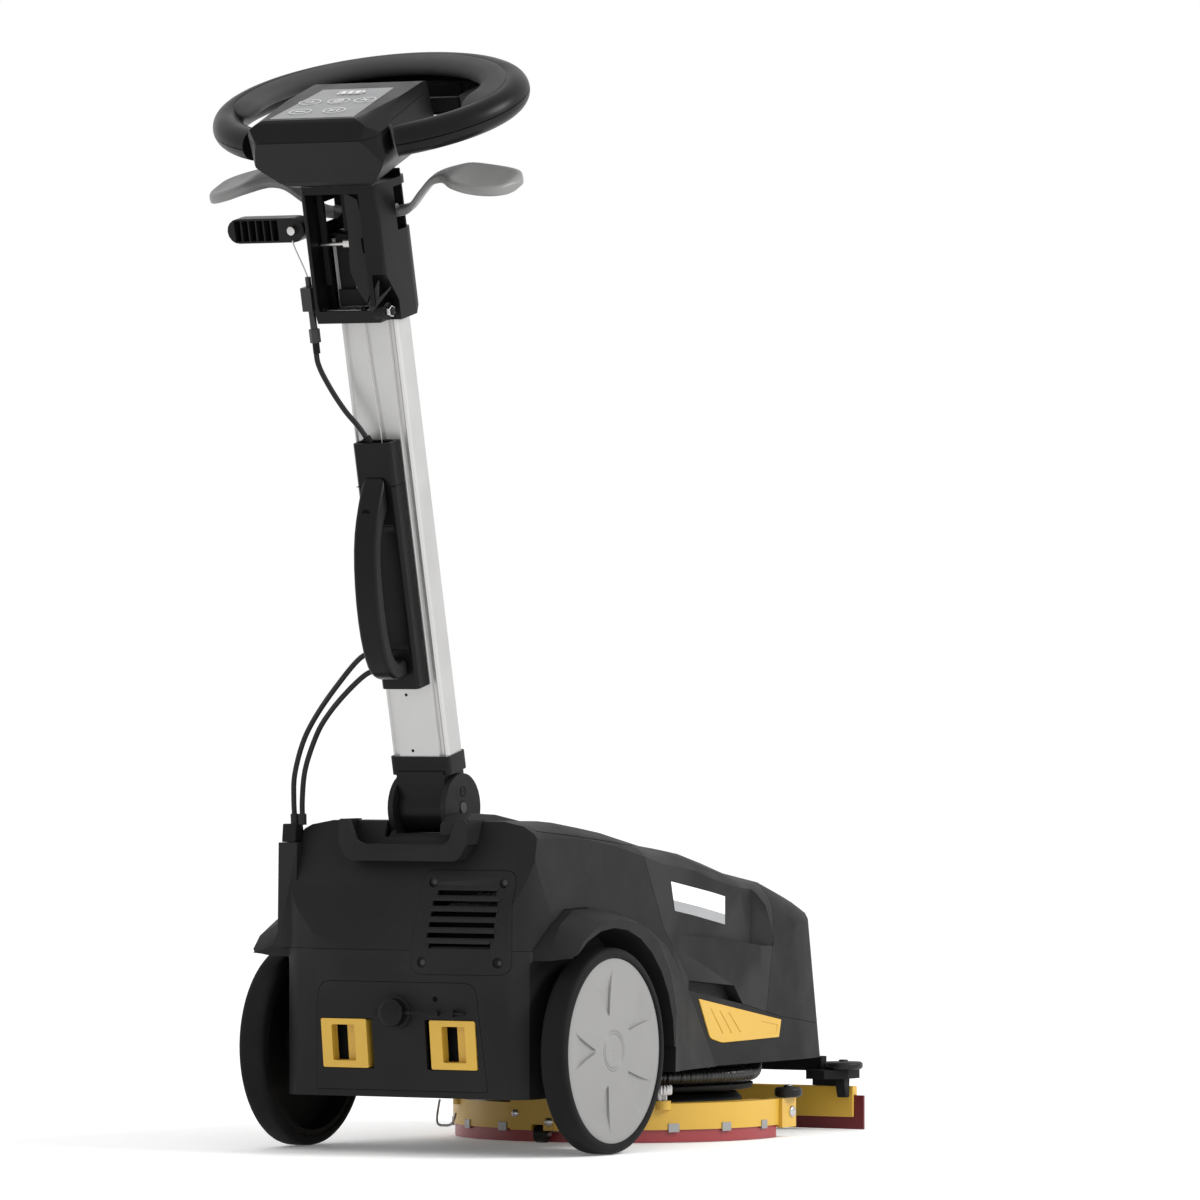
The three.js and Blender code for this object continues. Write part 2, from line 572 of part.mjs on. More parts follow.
function frontBracket() {
  let bracket = box(-135, 135, 541, 553.4, 62, 77.4).add(box(-150, 150, 553, 567, 46, 64));
  bracket = bracket.subtract(box(-118, 118, 552, 580, 40, 70));
  for (const side of [-1, 1]) {
    const plan = outline([[side * 128, 520], [side * 150, 520], [side * 168, 540], [side * 168, 566],
      [side * 128, 566]]);
    bracket = bracket.add(alongZ(plan, 54, 63.4));
  }
  return bracket;
}
function frontHolder() {
  const { y, half_width: half } = FRONT_BAR;
  return box(-half, half, y - 5, y + 5, 13, 45.6).subtract(box(-200, 200, y - 1.9, y + 1.9, 0, 36.4));
}
function frontBlade() {
  const { y, blade_half: half } = FRONT_BAR;
  return box(-half, half, y - 1.5, y + 1.5, 0, 36);
}

// Mast hinge
function hingeYoke() {
  const { y, z, cheek, cheek_wall: wall, disc } = HINGE;
  const profile = outline(arc(y, z, disc, disc, -40, 220, 26).concat([[y - disc + 2, 318], [y + disc - 2, 318]]));
  const gap = cheek - wall;
  return alongX(profile, -cheek, cheek)
    .subtract(box(-gap, gap, y - 60, y + 60, 322, 400))
    .subtract(rod([-60, y, z], [60, y, z], 6.4, 20));
}
function hingePin() {
  const { y, z, cheek } = HINGE;
  return rod([-cheek - 1, y, z], [cheek + 1, y, z], 6, 20);
}
function mastKnuckle() {
  const half = HINGE.cheek - HINGE.cheek_wall - GAP;
  const stem = box(-half, half, -20, 20, 0, COLLAR.bottom + 4);
  const barrel = rod([-half, 0, 0], [half, 0, 0], 25, 28).add(stem);
  const collar = alongZ(rectangle(-COLLAR.half_width, COLLAR.half_width, -COLLAR.half_depth, COLLAR.half_depth, 5),
    COLLAR.bottom, MAST.bottom + 1.6);
  const socket = box(-MAST.half_width - GAP, MAST.half_width + GAP, -MAST.half_depth - GAP, MAST.half_depth + GAP,
    MAST.bottom - GAP, 90);
  return barrel.add(collar).subtract(socket).subtract(rod([-60, 0, 0], [60, 0, 0], 6.4, 20));
}

// Mast and everything on it, with the hinge axis as the origin
const MAST_SECTION = outline([
  [-33, -12, 2], [-30, -14.6], [-28, -12.6], [-25, -12.6], [-23, -16], [23, -16], [25, -12.6],
  [28, -12.6], [30, -14.6], [33, -12, 2], [33, 16, 6], [-33, 16, 6],
], 3);
function mastTube() {
  const { bottom, top, half_width: w, half_depth: d } = MAST;
  return alongZ(MAST_SECTION, bottom, top)
    .subtract(box(-w + 6, w - 6, -d + 6, d - 3, bottom - 1, top + 1));
}
function gripHousing() {
  const { half_width: w, rear, bottom, top } = HOUSING;
  const front = -MAST.half_depth - GAP;
  const plan = outline([
    [w, front], [w, rear + 3], [w - 3, rear], [-w + 3, rear], [-w, rear + 3], [-w, front],
  ]);
  let housing = alongZ(plan,
    bottom, top);
  const scoop = alongX(outline([[-60, 168], [-32, 172, 8], [-32, 300, 8], [-60, 306]]), -15, 15);
  return housing.subtract(scoop).subtract(box(-w + 4, w - 4, rear + 4, front - 4, top - 6, top + 5));
}
function carryHandle() {
  const outer = new THREE.CatmullRomCurve3([
    [-38.4, 352], [-52, 334], [-72, 296], [-83, 240], [-82, 186], [-73, 158], [-58, 147], [-38.4, 146],
  ].map(([y, z]) => new THREE.Vector3(0, y, z))).getPoints(22);
  const gap = new THREE.CatmullRomCurve3([
    [-38.4, 164], [-54, 165], [-63, 178], [-66, 238], [-60, 282], [-50, 304], [-38.4, 318],
  ].map(([y, z]) => new THREE.Vector3(0, y, z))).getPoints(18);
  return alongX(outer.concat(gap).map((p) => new THREE.Vector2(p.y, p.z)), -13, 13);
}
function headColumn() {
  const { half_width: w, rear, front, bottom, top } = COLUMN;
  let column = alongZ(outline([[-w, rear, 5], [w, rear, 5], [w, front, 18], [-w, front, 18]], 4), bottom, top);
  const foot = outline([[-80, 400], [40, 400], [40, 546], [10, bottom], [-38, bottom], [-52, 556]]);
  column = column.subtract(alongX(foot, -80, 80));
  const mast_space = box(-MAST.half_width - GAP, MAST.half_width + GAP, -MAST.half_depth - GAP, MAST.half_depth + GAP, 0, 594);
  const bay = box(-38, 24, rear - 10, -MAST.half_depth, 521, 640).add(box(-38, 38, -20, 20, 594.6, 640));
  column = column.subtract(mast_space).subtract(bay);
  for (const side of [-1, 1]) {
    const a = side * 30;
    const b = side * 60;
    column = column.subtract(box(Math.min(a, b), Math.max(a, b), -8, 24, 596, 640));
  }
  const corner = outline([[-70, 400], [-22, 400], [-22, 528], [-40, 556], [-70, 570]]);
  column = column.subtract(alongX(corner, 29, 60));
  const boss = rod([24, -34, 519], [37, -34, 519], 9, 20);
  const tab = box(-70, -40, -20.5, -14, 594, 614);
  const pin = rod([LEVER.pivot, -42, LEVER.z], [LEVER.pivot, -16, LEVER.z], 3, 14);
  return column.add(boss).add(tab).add(pin).subtract(rod([23, -34, 519], [39, -34, 519], 3.6, 14))
    .subtract(rod([-60, -34, 519], [24, -34, 519], 3.6, 14));
}
function crossRod() {
  const bolt = rod([37.4, -34, 519], [42, -34, 519], 6, 6);
  return rod([-43, -34, 519], [38, -34, 519], 3, 14).add(bolt);
}
function cableAdjuster() {
  const x = -50;
  const y = -37;
  const block = box(-56, -COLUMN.half_width - GAP, y - 8, y + 10, 522, 546);
  const barrel = rod([x, y, 489], [x, y, 530], 3.6, 14);
  const nut = rod([x, y, 489], [x, y, 503], 5.6, 6);
  const stud = rod([x, y, 545], [x, y, 556], 3, 12);
  return block.add(barrel).add(nut).add(stud);
}
const UPPER_CABLE = [
  [-50, -37, 488.6], [-50, -37.5, 468], [-41, -37, 445], [-27, -36, 420], [-14, -33, 401], [-7, -29, 385.4],
];

function squeegeeLever() {
  const { pivot, tip, z, half_height: h, rear, front } = LEVER;
  const right = arc(pivot, z, h, h, -90, 90, 8);
  const left = arc(tip, z, h, h, 90, 270, 8);
  let lever = alongY(outline([...right, ...left]), rear, front);
  const cells = 6;
  const pitch = (pivot - tip - 12) / cells;
  for (let i = 0; i < cells; i += 1) {
    const x = tip - 4 + i * pitch;
    lever = lever.subtract(box(x, x + pitch - 1.6, rear - 1, front - 2.5, z - h + 2, z + h - 2));
  }
  return lever.subtract(rod([pivot, rear - 5, z], [pivot, front + 5, z], 3.4, 14));
}

function paddle(side) {
  const top = new THREE.CatmullRomCurve3([[34, 612], [52, 616], [70, 632], [88, 646], [116, 650], [140, 645], [178, 634]]
    .map(([x, z]) => new THREE.Vector3(x, z, 0))).getPoints(14);
  const strip = top.map((p) => [side * p.x, p.y + 4.5]).concat(top.reverse().map((p) => [side * p.x, p.y - 4.5]));
  const tilt = 12;
  const blank = alongY(outline(side > 0 ? strip.reverse() : strip), -70, 70)
    .translate(0, 0, -PADDLE_SHAFT.z).rotate([tilt, 0, 0]).translate(0, PADDLE_SHAFT.y, PADDLE_SHAFT.z);
  const plan = [[30, 0], [30, 16], [98, 20], [122, 32, 8], [165, 40, 8], [178, 30, 6], [160, -6, 10],
    [140, -18], [122, -18, 8], [100, -4]];
  const outer = outline(plan.map(([x, y, r]) => [side * x, y, r]));
  return blank.intersect(alongZ(side > 0 ? outer.reverse() : outer, 500, 800));
}
function paddleLever() {
  const { y, z, radius } = PADDLE_SHAFT;
  return paddle(-1).add(paddle(1)).add(rod([-36, y, z], [36, y, z], radius, 16));
}

// Head: ring and console, in the plane of the ring
class RingCurve extends THREE.Curve {
  constructor(half_width, half_depth, lift, from, to) {
    super();
    Object.assign(this, { half_width, half_depth, lift, from, to });
  }

  getPoint(t, target = new THREE.Vector3()) {
    const angle = THREE.MathUtils.degToRad(this.from + (this.to - this.from) * t);
    return target.set(this.half_width * Math.cos(angle), this.half_depth * Math.sin(angle), this.lift);
  }
}
const ring_curve = new RingCurve(RING.half_width, RING.half_depth, 0, -58, 238);
function ringLower() {
  const ring = tube(ring_curve, circle(RING.tube, 10), 30);
  const tray = alongZ(outline([[-84, 34, 6], [84, 34, 6], [90, 84, 10], [-90, 84, 10]]), -22, -4)
    .subtract(alongZ(outline([[-80, 38, 6], [80, 38, 6], [85, 78, 10], [-85, 78, 10]]), -19, 20));
  const beam = box(-60, 60, 76, 104, -20, -6);
  return ring.add(tray).add(beam);
}
function ringPad() {
  const curve = new RingCurve(PAD.half_width, PAD.half_depth, PAD.lift, -22, 202);
  const section = Array.from({ length: 10 }, (_, i) => {
    const angle = (Math.PI * 2 * i) / 10;
    return new THREE.Vector2(10 * Math.cos(angle), 15 * Math.sin(angle));
  });
  const clearance = tube(new RingCurve(RING.half_width, RING.half_depth, 0, -60, 240), circle(RING.tube + GAP, 10), 30);
  return tube(curve, section, 24).subtract(clearance).subtract(box(-91, 91, 30, 85, -40, -3.6))
    .subtract(box(-61, 61, 74, 105, -40, -5.6));
}
const CONSOLE_PLAN = outline([
  [-61, -128, 5], [61, -128, 5], [77, -114, 6], [78, -94, 8], [66, -72], [63, 12], [52, 31, 6], [-52, 31, 6],
  [-63, 12], [-66, -72], [-78, -94, 8], [-77, -114, 6]]);
const ring_space = tube(new RingCurve(RING.half_width, RING.half_depth, 0, -59, 239), circle(RING.tube + GAP, 10), 30);
function keypadPlan(grow) {
  return alongZ(outline([[-49 - grow, -113], [49 + grow, -113], [41 + grow, -13], [-41 - grow, -13]]), 0, 100);
}
function consoleUpper() {
  const seam = CONSOLE.seam + GAP;
  const side = alongX(outline([[CONSOLE.rear, seam], [-121, 31, 3], [-116, 33], [8, 24.5, 4], [CONSOLE.front, seam]]),
    -100, 100);
  const arch = outline([[-80, 0], [80, 0], [78, 16], [63, 30, 6], [50, 34], [-50, 34], [-63, 30, 6], [-78, 16]]);
  const across = alongY(arch, -200, 100);
  const recess = alongX(outline([[-112, 31.2], [-14, 24.8], [-14, 60], [-112, 60]]), -50, 50)
    .intersect(keypadPlan(0.5));
  return side.intersect(alongZ(CONSOLE_PLAN, -100, 100)).intersect(across).subtract(recess).subtract(ring_space);
}
function keypadPanel() {
  return alongX(outline([[-111.4, 31.5], [-14.4, 25.1], [-14.4, 26.5], [-111.4, 32.9]]), -50, 50)
    .intersect(keypadPlan(0));
}
function consoleLower() {
  const { rear, seam, front, bottom } = CONSOLE;
  const side = alongX(outline([[rear, seam], [front, seam], [31, -6], [6, bottom, 8], [-104, bottom, 10]]
    .reverse()), -100, 100);
  const across = alongY(outline([[-80, 20], [-76, -16, 10], [-47, bottom, 12], [47, bottom, 12], [76, -16, 10], [80, 20]]
    .reverse()), -200, 100);
  const room = box(-42, 42, -96, -6, bottom - 5, seam - 4);
  return side.intersect(alongZ(CONSOLE_PLAN, -100, 100)).intersect(across).subtract(ring_space)
    .subtract(room.intersect(box(-42, 42, -96, -6, bottom + 6, seam - 4)))
    .subtract(rod([0, -52, bottom - 5], [0, -52, 0], 12, 20));
}

place(machine, 'base_chassis', baseChassis(), charcoal);
place(machine, 'rear_shell', rearShell(), charcoal);
place(machine, 'top_cover', upperForm().intersect(alongX(outline(COVER_REGION), -200, 200))
  .intersect(alongX(outline(REAR_REGION), -200, 200)).subtract(yoke_space), charcoal);
place(machine, 'recovery_tank', tank(MID_REGION, 250, 270), charcoal);
place(machine, 'solution_tank', tank(NOSE_REGION, 440, 230), charcoal);
place(machine, 'vent_grille', ventGrille(), charcoal);
place(machine, 'battery_door', batteryDoor(), charcoal);
place(machine, 'door_latch_left', doorLatch(-1), yellow);
place(machine, 'door_latch_right', doorLatch(1), yellow);
place(machine, 'charge_cap', chargeCap(), black);
place(machine, 'side_latch_left', sideLatch(-1, 0), yellow);
place(machine, 'side_latch_right', sideLatch(1, 0), yellow);
place(machine, 'grab_rail', grabRail(), charcoal);
const gland_side = outline([[-87, 312.4], [-67, 312.4], [-71, 331], [-85, 331]]);
place(machine, 'cable_gland', alongX(gland_side, -149, -133), black);
place(machine, 'wheel_axle', rod([-182, 0, WHEEL.radius], [182, 0, WHEEL.radius], WHEEL.axle, 24), steel);
place(machine, 'battery_pack', box(-88, 88, -84, -14, 62, 160), black);
const MOTOR_CASE = [[0, 212], [44, 212], [44, 262], [34, 268], [34, 298], [0, 298]];
place(machine, 'suction_motor', turnedZ(MOTOR_CASE, 0, 40, 32), black);
const pump_foot = box(-116, -76, 40, 66, 66, 114);
place(machine, 'solution_pump', rod([-96, 60, 90], [-96, 112, 90], 22, 20).add(pump_foot), black);
place(machine, 'brush_motor', brushMotor(), black);
place(machine, 'deck_plate', deckPlate(), black);
place(machine, 'brush_disc', brushDisc(), black);
place(machine, 'brush_bristles', brushBristles(), soft_grey);
place(machine, 'squeegee_holder', squeegeeHolder(), yellow);
place(machine, 'squeegee_blade', squeegeeBlade(), red_rubber);
place(machine, 'support_roller', supportRoller(), black);
place(machine, 'squeegee_bumper_left', bumper(-175, 395, 46.4, 14.5, 10), black);
place(machine, 'squeegee_bumper_right', bumper(175, 395, 46.4, 14.5, 10), black);
place(machine, 'thumb_knob_left', thumbKnob(-1), steel);
place(machine, 'thumb_knob_right', thumbKnob(1), steel);
place(machine, 'suction_hose', cable(HOSE_ROUTE, 8.4, 8, 40), black);
place(machine, 'front_bracket', frontBracket(), black);
place(machine, 'front_holder', frontHolder(), yellow);
place(machine, 'front_blade', frontBlade(), dark_red);
place(machine, 'front_bumper_left', bumper(-158, 548, 68, 20.8, 8), black);
place(machine, 'front_bumper_right', bumper(158, 548, 68, 20.8, 8), black);
place(machine, 'hinge_yoke', hingeYoke(), charcoal);
place(machine, 'hinge_pin', hingePin(), steel);
const LOWER_CABLES = {
  lower_cable_left: [[-143, -79, 331.4], [-143.5, -78, 356], [-142, -76, 381], [-132, -75, 413], [-112, -82, 439],
    [-77, -99, 470], [-45, -103, 500], [-23.4, -103, 505]],
  lower_cable_right: [[-137, -77, 331.4], [-136, -75.5, 356], [-132, -73, 385], [-121, -74, 413], [-102, -82, 435],
    [-70, -98, 460], [-42, -98, 483], [-23.4, -98, 487]],
};
for (const [name, route] of Object.entries(LOWER_CABLES)) {
  place(machine, name, cable(route, 2.8, 8, 20), black);
}

place(mast, 'mast_knuckle', mastKnuckle(), black);
place(mast, 'mast_tube', mastTube(), aluminium);
place(mast, 'grip_housing', gripHousing(), black);
place(mast, 'carry_handle', carryHandle(), black);
place(mast, 'head_column', headColumn(), black);
place(mast, 'cross_rod', crossRod(), steel);
place(mast, 'cable_adjuster', cableAdjuster(), steel);
place(mast, 'upper_cable', cable(UPPER_CABLE, 2.8, 8, 16), black);
place(mast, 'squeegee_lever', squeegeeLever(), black);
place(mast, 'paddle_lever', paddleLever(), light_grey);
place(head, 'ring_lower', ringLower(), black);
place(head, 'ring_pad', ringPad(), soft_grey);
place(head, 'console_upper', consoleUpper(), black);
place(head, 'console_lower', consoleLower(), black);
place(head, 'keypad_panel', keypadPanel(), panel_grey);

const scrubber = new THREE.Group();
scrubber.add(machine);
machine.position.y = -(OVERALL_FRONT + OVERALL_REAR) / 2;

export default scrubber;
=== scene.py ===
"""Looks for the walk-behind floor scrubber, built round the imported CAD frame."""
import json
import math
import random

import bpy
from mathutils import Matrix, Vector
from mathutils.bvhtree import BVHTree

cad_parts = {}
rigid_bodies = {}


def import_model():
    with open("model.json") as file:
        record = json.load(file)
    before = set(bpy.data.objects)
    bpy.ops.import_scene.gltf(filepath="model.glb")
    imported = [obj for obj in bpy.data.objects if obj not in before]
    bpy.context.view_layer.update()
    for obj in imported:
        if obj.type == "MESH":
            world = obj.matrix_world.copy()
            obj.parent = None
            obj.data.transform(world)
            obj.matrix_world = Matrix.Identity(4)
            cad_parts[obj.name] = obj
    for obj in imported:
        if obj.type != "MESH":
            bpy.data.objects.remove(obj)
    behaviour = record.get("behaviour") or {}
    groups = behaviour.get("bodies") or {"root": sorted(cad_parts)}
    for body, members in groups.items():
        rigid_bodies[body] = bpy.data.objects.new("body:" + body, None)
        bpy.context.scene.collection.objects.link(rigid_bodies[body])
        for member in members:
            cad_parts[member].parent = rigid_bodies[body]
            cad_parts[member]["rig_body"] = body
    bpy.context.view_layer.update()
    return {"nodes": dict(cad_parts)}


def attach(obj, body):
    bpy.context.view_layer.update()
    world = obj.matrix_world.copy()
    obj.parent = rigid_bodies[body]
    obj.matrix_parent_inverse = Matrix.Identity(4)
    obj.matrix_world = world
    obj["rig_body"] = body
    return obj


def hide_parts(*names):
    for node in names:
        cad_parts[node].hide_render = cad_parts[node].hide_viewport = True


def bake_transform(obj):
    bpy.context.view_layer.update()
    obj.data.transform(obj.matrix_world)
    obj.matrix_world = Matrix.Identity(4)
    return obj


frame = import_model()
NODES = frame["nodes"]
random.seed(7)

# Camera: level, at the operator's right and behind, far away with a long lens
camera_data = bpy.data.cameras.new("camera")
camera_data.lens = 285
camera_data.sensor_width = 36
camera_data.shift_y = 0.0385
camera_data.clip_end = 100
camera = bpy.data.objects.new("camera", camera_data)
bpy.context.scene.collection.objects.link(camera)
camera.location = (4.90597, -8.45688, 0.5113)
camera.rotation_euler = (math.radians(90), 0, math.radians(29.65))
bpy.context.scene.camera = camera

# Places of the local frames, whose lengths are millimetres
MM = Matrix.Scale(0.001, 4)
AXLE = Matrix.Translation((0, -0.14345, 0)) @ MM
MAST = Matrix.Translation((0, -0.17805, 0.348)) @ Matrix.Rotation(math.radians(13.25), 4, "X") @ MM
HEAD = MAST @ Matrix.Translation((0, 40, 712)) @ Matrix.Rotation(math.radians(10.75), 4, "X")
BRUSH_Y = 343
FILM = HEAD @ Matrix.Translation((0, -62.9, 29.75)) @ Matrix.Rotation(math.atan2(-6.4, 97), 4, "X")


# Materials
def material(name, color, roughness, metallic=0.0, grain=900.0, depth=0.05, vary=0.12, gloss_vary=0.06,
             stretch=(1, 1, 1), turn=0.0, specular=0.5, coat=0.0, subsurface=0.0, dust=0.0):
    """Procedural finish: mottled colour, grain in the bump, uneven gloss and paler worn edges."""
    m = bpy.data.materials.new(name)
    m.use_nodes = True
    tree = m.node_tree
    shader = tree.nodes["Principled BSDF"]
    shader.inputs["Metallic"].default_value = metallic
    shader.inputs["Specular IOR Level"].default_value = specular
    shader.inputs["Coat Weight"].default_value = coat
    shader.inputs["Coat Roughness"].default_value = 0.25
    shader.inputs["Subsurface Weight"].default_value = subsurface
    shader.inputs["Subsurface Radius"].default_value = (0.004, 0.001, 0.001)
    place = tree.nodes.new("ShaderNodeTexCoord")
    mapping = tree.nodes.new("ShaderNodeMapping")
    mapping.inputs["Scale"].default_value = stretch
    mapping.inputs["Rotation"].default_value = (turn, 0, 0)
    tree.links.new(place.outputs["Object"], mapping.inputs["Vector"])

    def noise(scale, detail, source=mapping):
        n = tree.nodes.new("ShaderNodeTexNoise")
        n.inputs["Scale"].default_value = scale
        n.inputs["Detail"].default_value = detail
        tree.links.new(source.outputs["Vector" if source is mapping else "Object"], n.inputs["Vector"])
        return n.outputs["Fac"]

    def mapped(value, low, high):
        r = tree.nodes.new("ShaderNodeMapRange")
        r.inputs["From Min"].default_value = 0.3
        r.inputs["From Max"].default_value = 0.7
        r.inputs["To Min"].default_value = low
        r.inputs["To Max"].default_value = high
        tree.links.new(value, r.inputs["Value"])
        return r.outputs["Result"]

    def mix(factor, a, b):
        x = tree.nodes.new("ShaderNodeMix")
        x.data_type = "RGBA"
        tree.links.new(factor, x.inputs["Factor"])
        for socket, value in ((x.inputs["A"], a), (x.inputs["B"], b)):
            if isinstance(value, bpy.types.NodeSocket):
                tree.links.new(value, socket)
            else:
                socket.default_value = (*value, 1)
        return x.outputs["Result"]

    dark = [c * (1 - vary) for c in color]
    light = [min(1, c * (1 + vary)) for c in color]
    base = mix(mapped(noise(9, 4, place), 0, 1), dark, light)
    if dust:
        shape = tree.nodes.new("ShaderNodeNewGeometry")
        ramp = tree.nodes.new("ShaderNodeMapRange")
        ramp.inputs["From Min"].default_value = 0.53
        ramp.inputs["From Max"].default_value = 0.62
        ramp.inputs["To Max"].default_value = dust
        tree.links.new(shape.outputs["Pointiness"], ramp.inputs["Value"])
        worn = [c + 0.05 for c in color]
        base = mix(ramp.outputs["Result"], base, worn)
    tree.links.new(base, shader.inputs["Base Color"])
    rough = mapped(noise(26, 3, place), roughness - gloss_vary, roughness + gloss_vary)
    tree.links.new(rough, shader.inputs["Roughness"])
    bump = tree.nodes.new("ShaderNodeBump")
    bump.inputs["Strength"].default_value = 0.5
    bump.inputs["Distance"].default_value = depth / 1000
    tree.links.new(noise(grain, 2), bump.inputs["Height"])
    tree.links.new(bump.outputs["Normal"], shader.inputs["Normal"])
    return m


LEAN = math.radians(-13.25)
BODY = material("body_charcoal", (0.0105, 0.0105, 0.0106), 0.58, grain=1300, depth=0.09, dust=0.2,
                specular=0.14)
SATIN = material("satin_black", (0.0045, 0.0045, 0.0047), 0.34, grain=1500, depth=0.03, dust=0.1,
                 specular=0.14)
FLAT = material("flat_black", (0.006, 0.006, 0.006), 0.6, grain=1100, depth=0.08, specular=0.14)
YELLOW = material("satin_yellow", (0.54, 0.325, 0.036), 0.42, grain=1400, depth=0.03, vary=0.05)
HUB = material("hub_grey", (0.20, 0.198, 0.194), 0.45, grain=1600, depth=0.04, vary=0.03)
LIGHT_GREY = material("paddle_grey", (0.17, 0.169, 0.167), 0.4, grain=1500, depth=0.03, vary=0.04)
PAD = material("soft_pad", (0.05, 0.05, 0.05), 0.75, grain=1700, depth=0.12, vary=0.06, specular=0.3)
TYRE = material("tyre_black", (0.005, 0.005, 0.005), 0.65, grain=800, depth=0.12, vary=0.2, specular=0.12)
RUBBER = material("black_rubber", (0.008, 0.008, 0.008), 0.45, grain=1200, depth=0.05, specular=0.25)
HOSE = material("hose_black", (0.008, 0.008, 0.008), 0.28, grain=900, depth=0.03, specular=0.5)
RED = material("red_rubber", (0.26, 0.028, 0.034), 0.38, grain=500, depth=0.05, vary=0.08, subsurface=0.15)
DARK_RED = material("dark_red_rubber", (0.11, 0.006, 0.008), 0.4, grain=500, depth=0.05, subsurface=0.1)
ALUMINIUM = material("anodised_aluminium", (0.48, 0.477, 0.472), 0.42, 0.8, grain=9, depth=0.04, vary=0.04,
                     stretch=(220, 220, 3), turn=LEAN)
STEEL = material("machined_steel", (0.52, 0.51, 0.50), 0.3, 1.0, grain=700, depth=0.02, vary=0.06)
CASE = material("motor_case", (0.02, 0.02, 0.022), 0.4, 0.3, grain=900, depth=0.06)
BRISTLE = material("bristle_nylon", (0.045, 0.045, 0.046), 0.55, grain=300, depth=0.2, vary=0.3)
FILM_GREY = material("keypad_film", (0.17, 0.172, 0.178), 0.35, grain=2500, depth=0.02, vary=0.03, coat=0.3)
PRINT = material("pale_print", (0.72, 0.72, 0.72), 0.5, grain=1500, depth=0.01, vary=0.02)
LABEL = material("label_film", (0.78, 0.78, 0.77), 0.35, grain=1500, depth=0.01, vary=0.02, coat=0.4)
BAND = material("label_band", (0.25, 0.255, 0.26), 0.35, grain=1500, depth=0.01, vary=0.03, coat=0.4)
CLIP = material("clip_steel", (0.3, 0.3, 0.295), 0.45, 0.6, grain=900, depth=0.04, vary=0.08)
# Painted shade: a near-black, barely reflecting finish that stands for the shade inside holes and gaps.
HOLE_SHADE = material("painted_hole_shade", (0.003, 0.003, 0.003), 0.8, grain=900, depth=0.02, specular=0.05)


# CAD nodes keep their shape and get rounded edges
def rounded(obj, bevel, angle=32.0, segments=2, dissolve=1.0):
    """Small rounded edges and even shading on a faceted solid."""
    mesh = obj.data
    if "custom_normal" in mesh.attributes:
        mesh.attributes.remove(mesh.attributes["custom_normal"])
    mesh.shade_smooth()
    weld = obj.modifiers.new("weld", "WELD")
    weld.merge_threshold = 0.00001
    if not bevel:
        split = obj.modifiers.new("split", "EDGE_SPLIT")
        split.split_angle = math.radians(angle)
        return
    flat = obj.modifiers.new("flat", "DECIMATE")
    flat.decimate_type = "DISSOLVE"
    flat.angle_limit = math.radians(dissolve)
    edge = obj.modifiers.new("edge", "BEVEL")
    edge.width = bevel / 1000
    edge.segments = segments
    edge.limit_method = "ANGLE"
    edge.angle_limit = math.radians(angle)
    edge.harden_normals = True
    edge.miter_outer = "MITER_ARC"
    edge.use_clamp_overlap = True
    obj.modifiers.new("even", "WEIGHTED_NORMAL").keep_sharp = True


def dress(names, finish, bevel=0.6, angle=32.0, segments=2):
    for name in names.split():
        NODES[name].data.materials.clear()
        NODES[name].data.materials.append(finish)
        rounded(NODES[name], bevel, angle, segments)


# New pieces
def piece(name, verts, faces, place, finish, body, slot, smooth=40.0, bevel=0.0, replaces=()):
    mesh = bpy.data.meshes.new(name)
    mesh.from_pydata([place @ Vector(v) for v in verts], [], faces)
    mesh.validate()
    obj = bpy.data.objects.new(name, mesh)
    bpy.context.scene.collection.objects.link(obj)
    flip_outwards(mesh)
    mesh.shade_smooth()
    mesh.set_sharp_from_angle(angle=math.radians(smooth))
    mesh.materials.append(finish)
    if bevel:
        edge = obj.modifiers.new("edge", "BEVEL")
        edge.width = bevel / 1000
        edge.segments = 2
        edge.limit_method = "ANGLE"
        edge.angle_limit = math.radians(35)
        edge.harden_normals = True
    if body:
        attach(obj, body)
    if replaces:
        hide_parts(*replaces)
    return obj


def flip_outwards(mesh):
    """Turns faces so that closed shells have their outer side out."""
    import bmesh
    bm = bmesh.new()
    bm.from_mesh(mesh)
    bmesh.ops.recalc_face_normals(bm, faces=bm.faces)
    bm.to_mesh(mesh)
    bm.free()


def join(parts):
    """One list of corners and faces from several."""
    verts, faces = [], []
    for v, f in parts:
        start = len(verts)
        verts += v
        faces += [tuple(i + start for i in face) for face in f]
    return verts, faces


def prism(points, axis, low, high):
    """An outline drawn along x, y or z."""
    def at(a, b, c):
        return {"x": (c, a, b), "y": (a, c, b), "z": (a, b, c)}[axis]
    n = len(points)
    verts = [at(a, b, low) for a, b in points] + [at(a, b, high) for a, b in points]
    faces = [(i, (i + 1) % n, (i + 1) % n + n, i + n) for i in range(n)]
    return verts, faces + [tuple(range(n))[::-1], tuple(range(n, 2 * n))]


def block(x0, x1, y0, y1, z0, z1):
    return prism([(x0, y0), (x1, y0), (x1, y1), (x0, y1)], "z", z0, z1)


def lathe(profile, centre, axis, segments=48, ribs=0, rib_depth=0.0):
    """A profile of (radius, height) turned about an axis, with optional ribs round it."""
    verts, faces = [], []
    n = len(profile)
    for i in range(segments):
        a = 2 * math.pi * i / segments
        pull = rib_depth * (0.5 + 0.5 * math.cos(a * ribs)) if ribs else 0
        for r, h in profile:
            q = max(0.0, r - pull if r > 3 * rib_depth else r)
            u, v = q * math.cos(a), q * math.sin(a)
            verts.append({"z": (u, v, h), "x": (h, u, v), "y": (u, h, v)}[axis])
    verts = [tuple(c + d for c, d in zip(v, centre)) for v in verts]
    for i in range(segments):
        j = (i + 1) % segments
        for k in range(n - 1):
            faces.append((i * n + k, j * n + k, j * n + k + 1, i * n + k + 1))
    return verts, faces


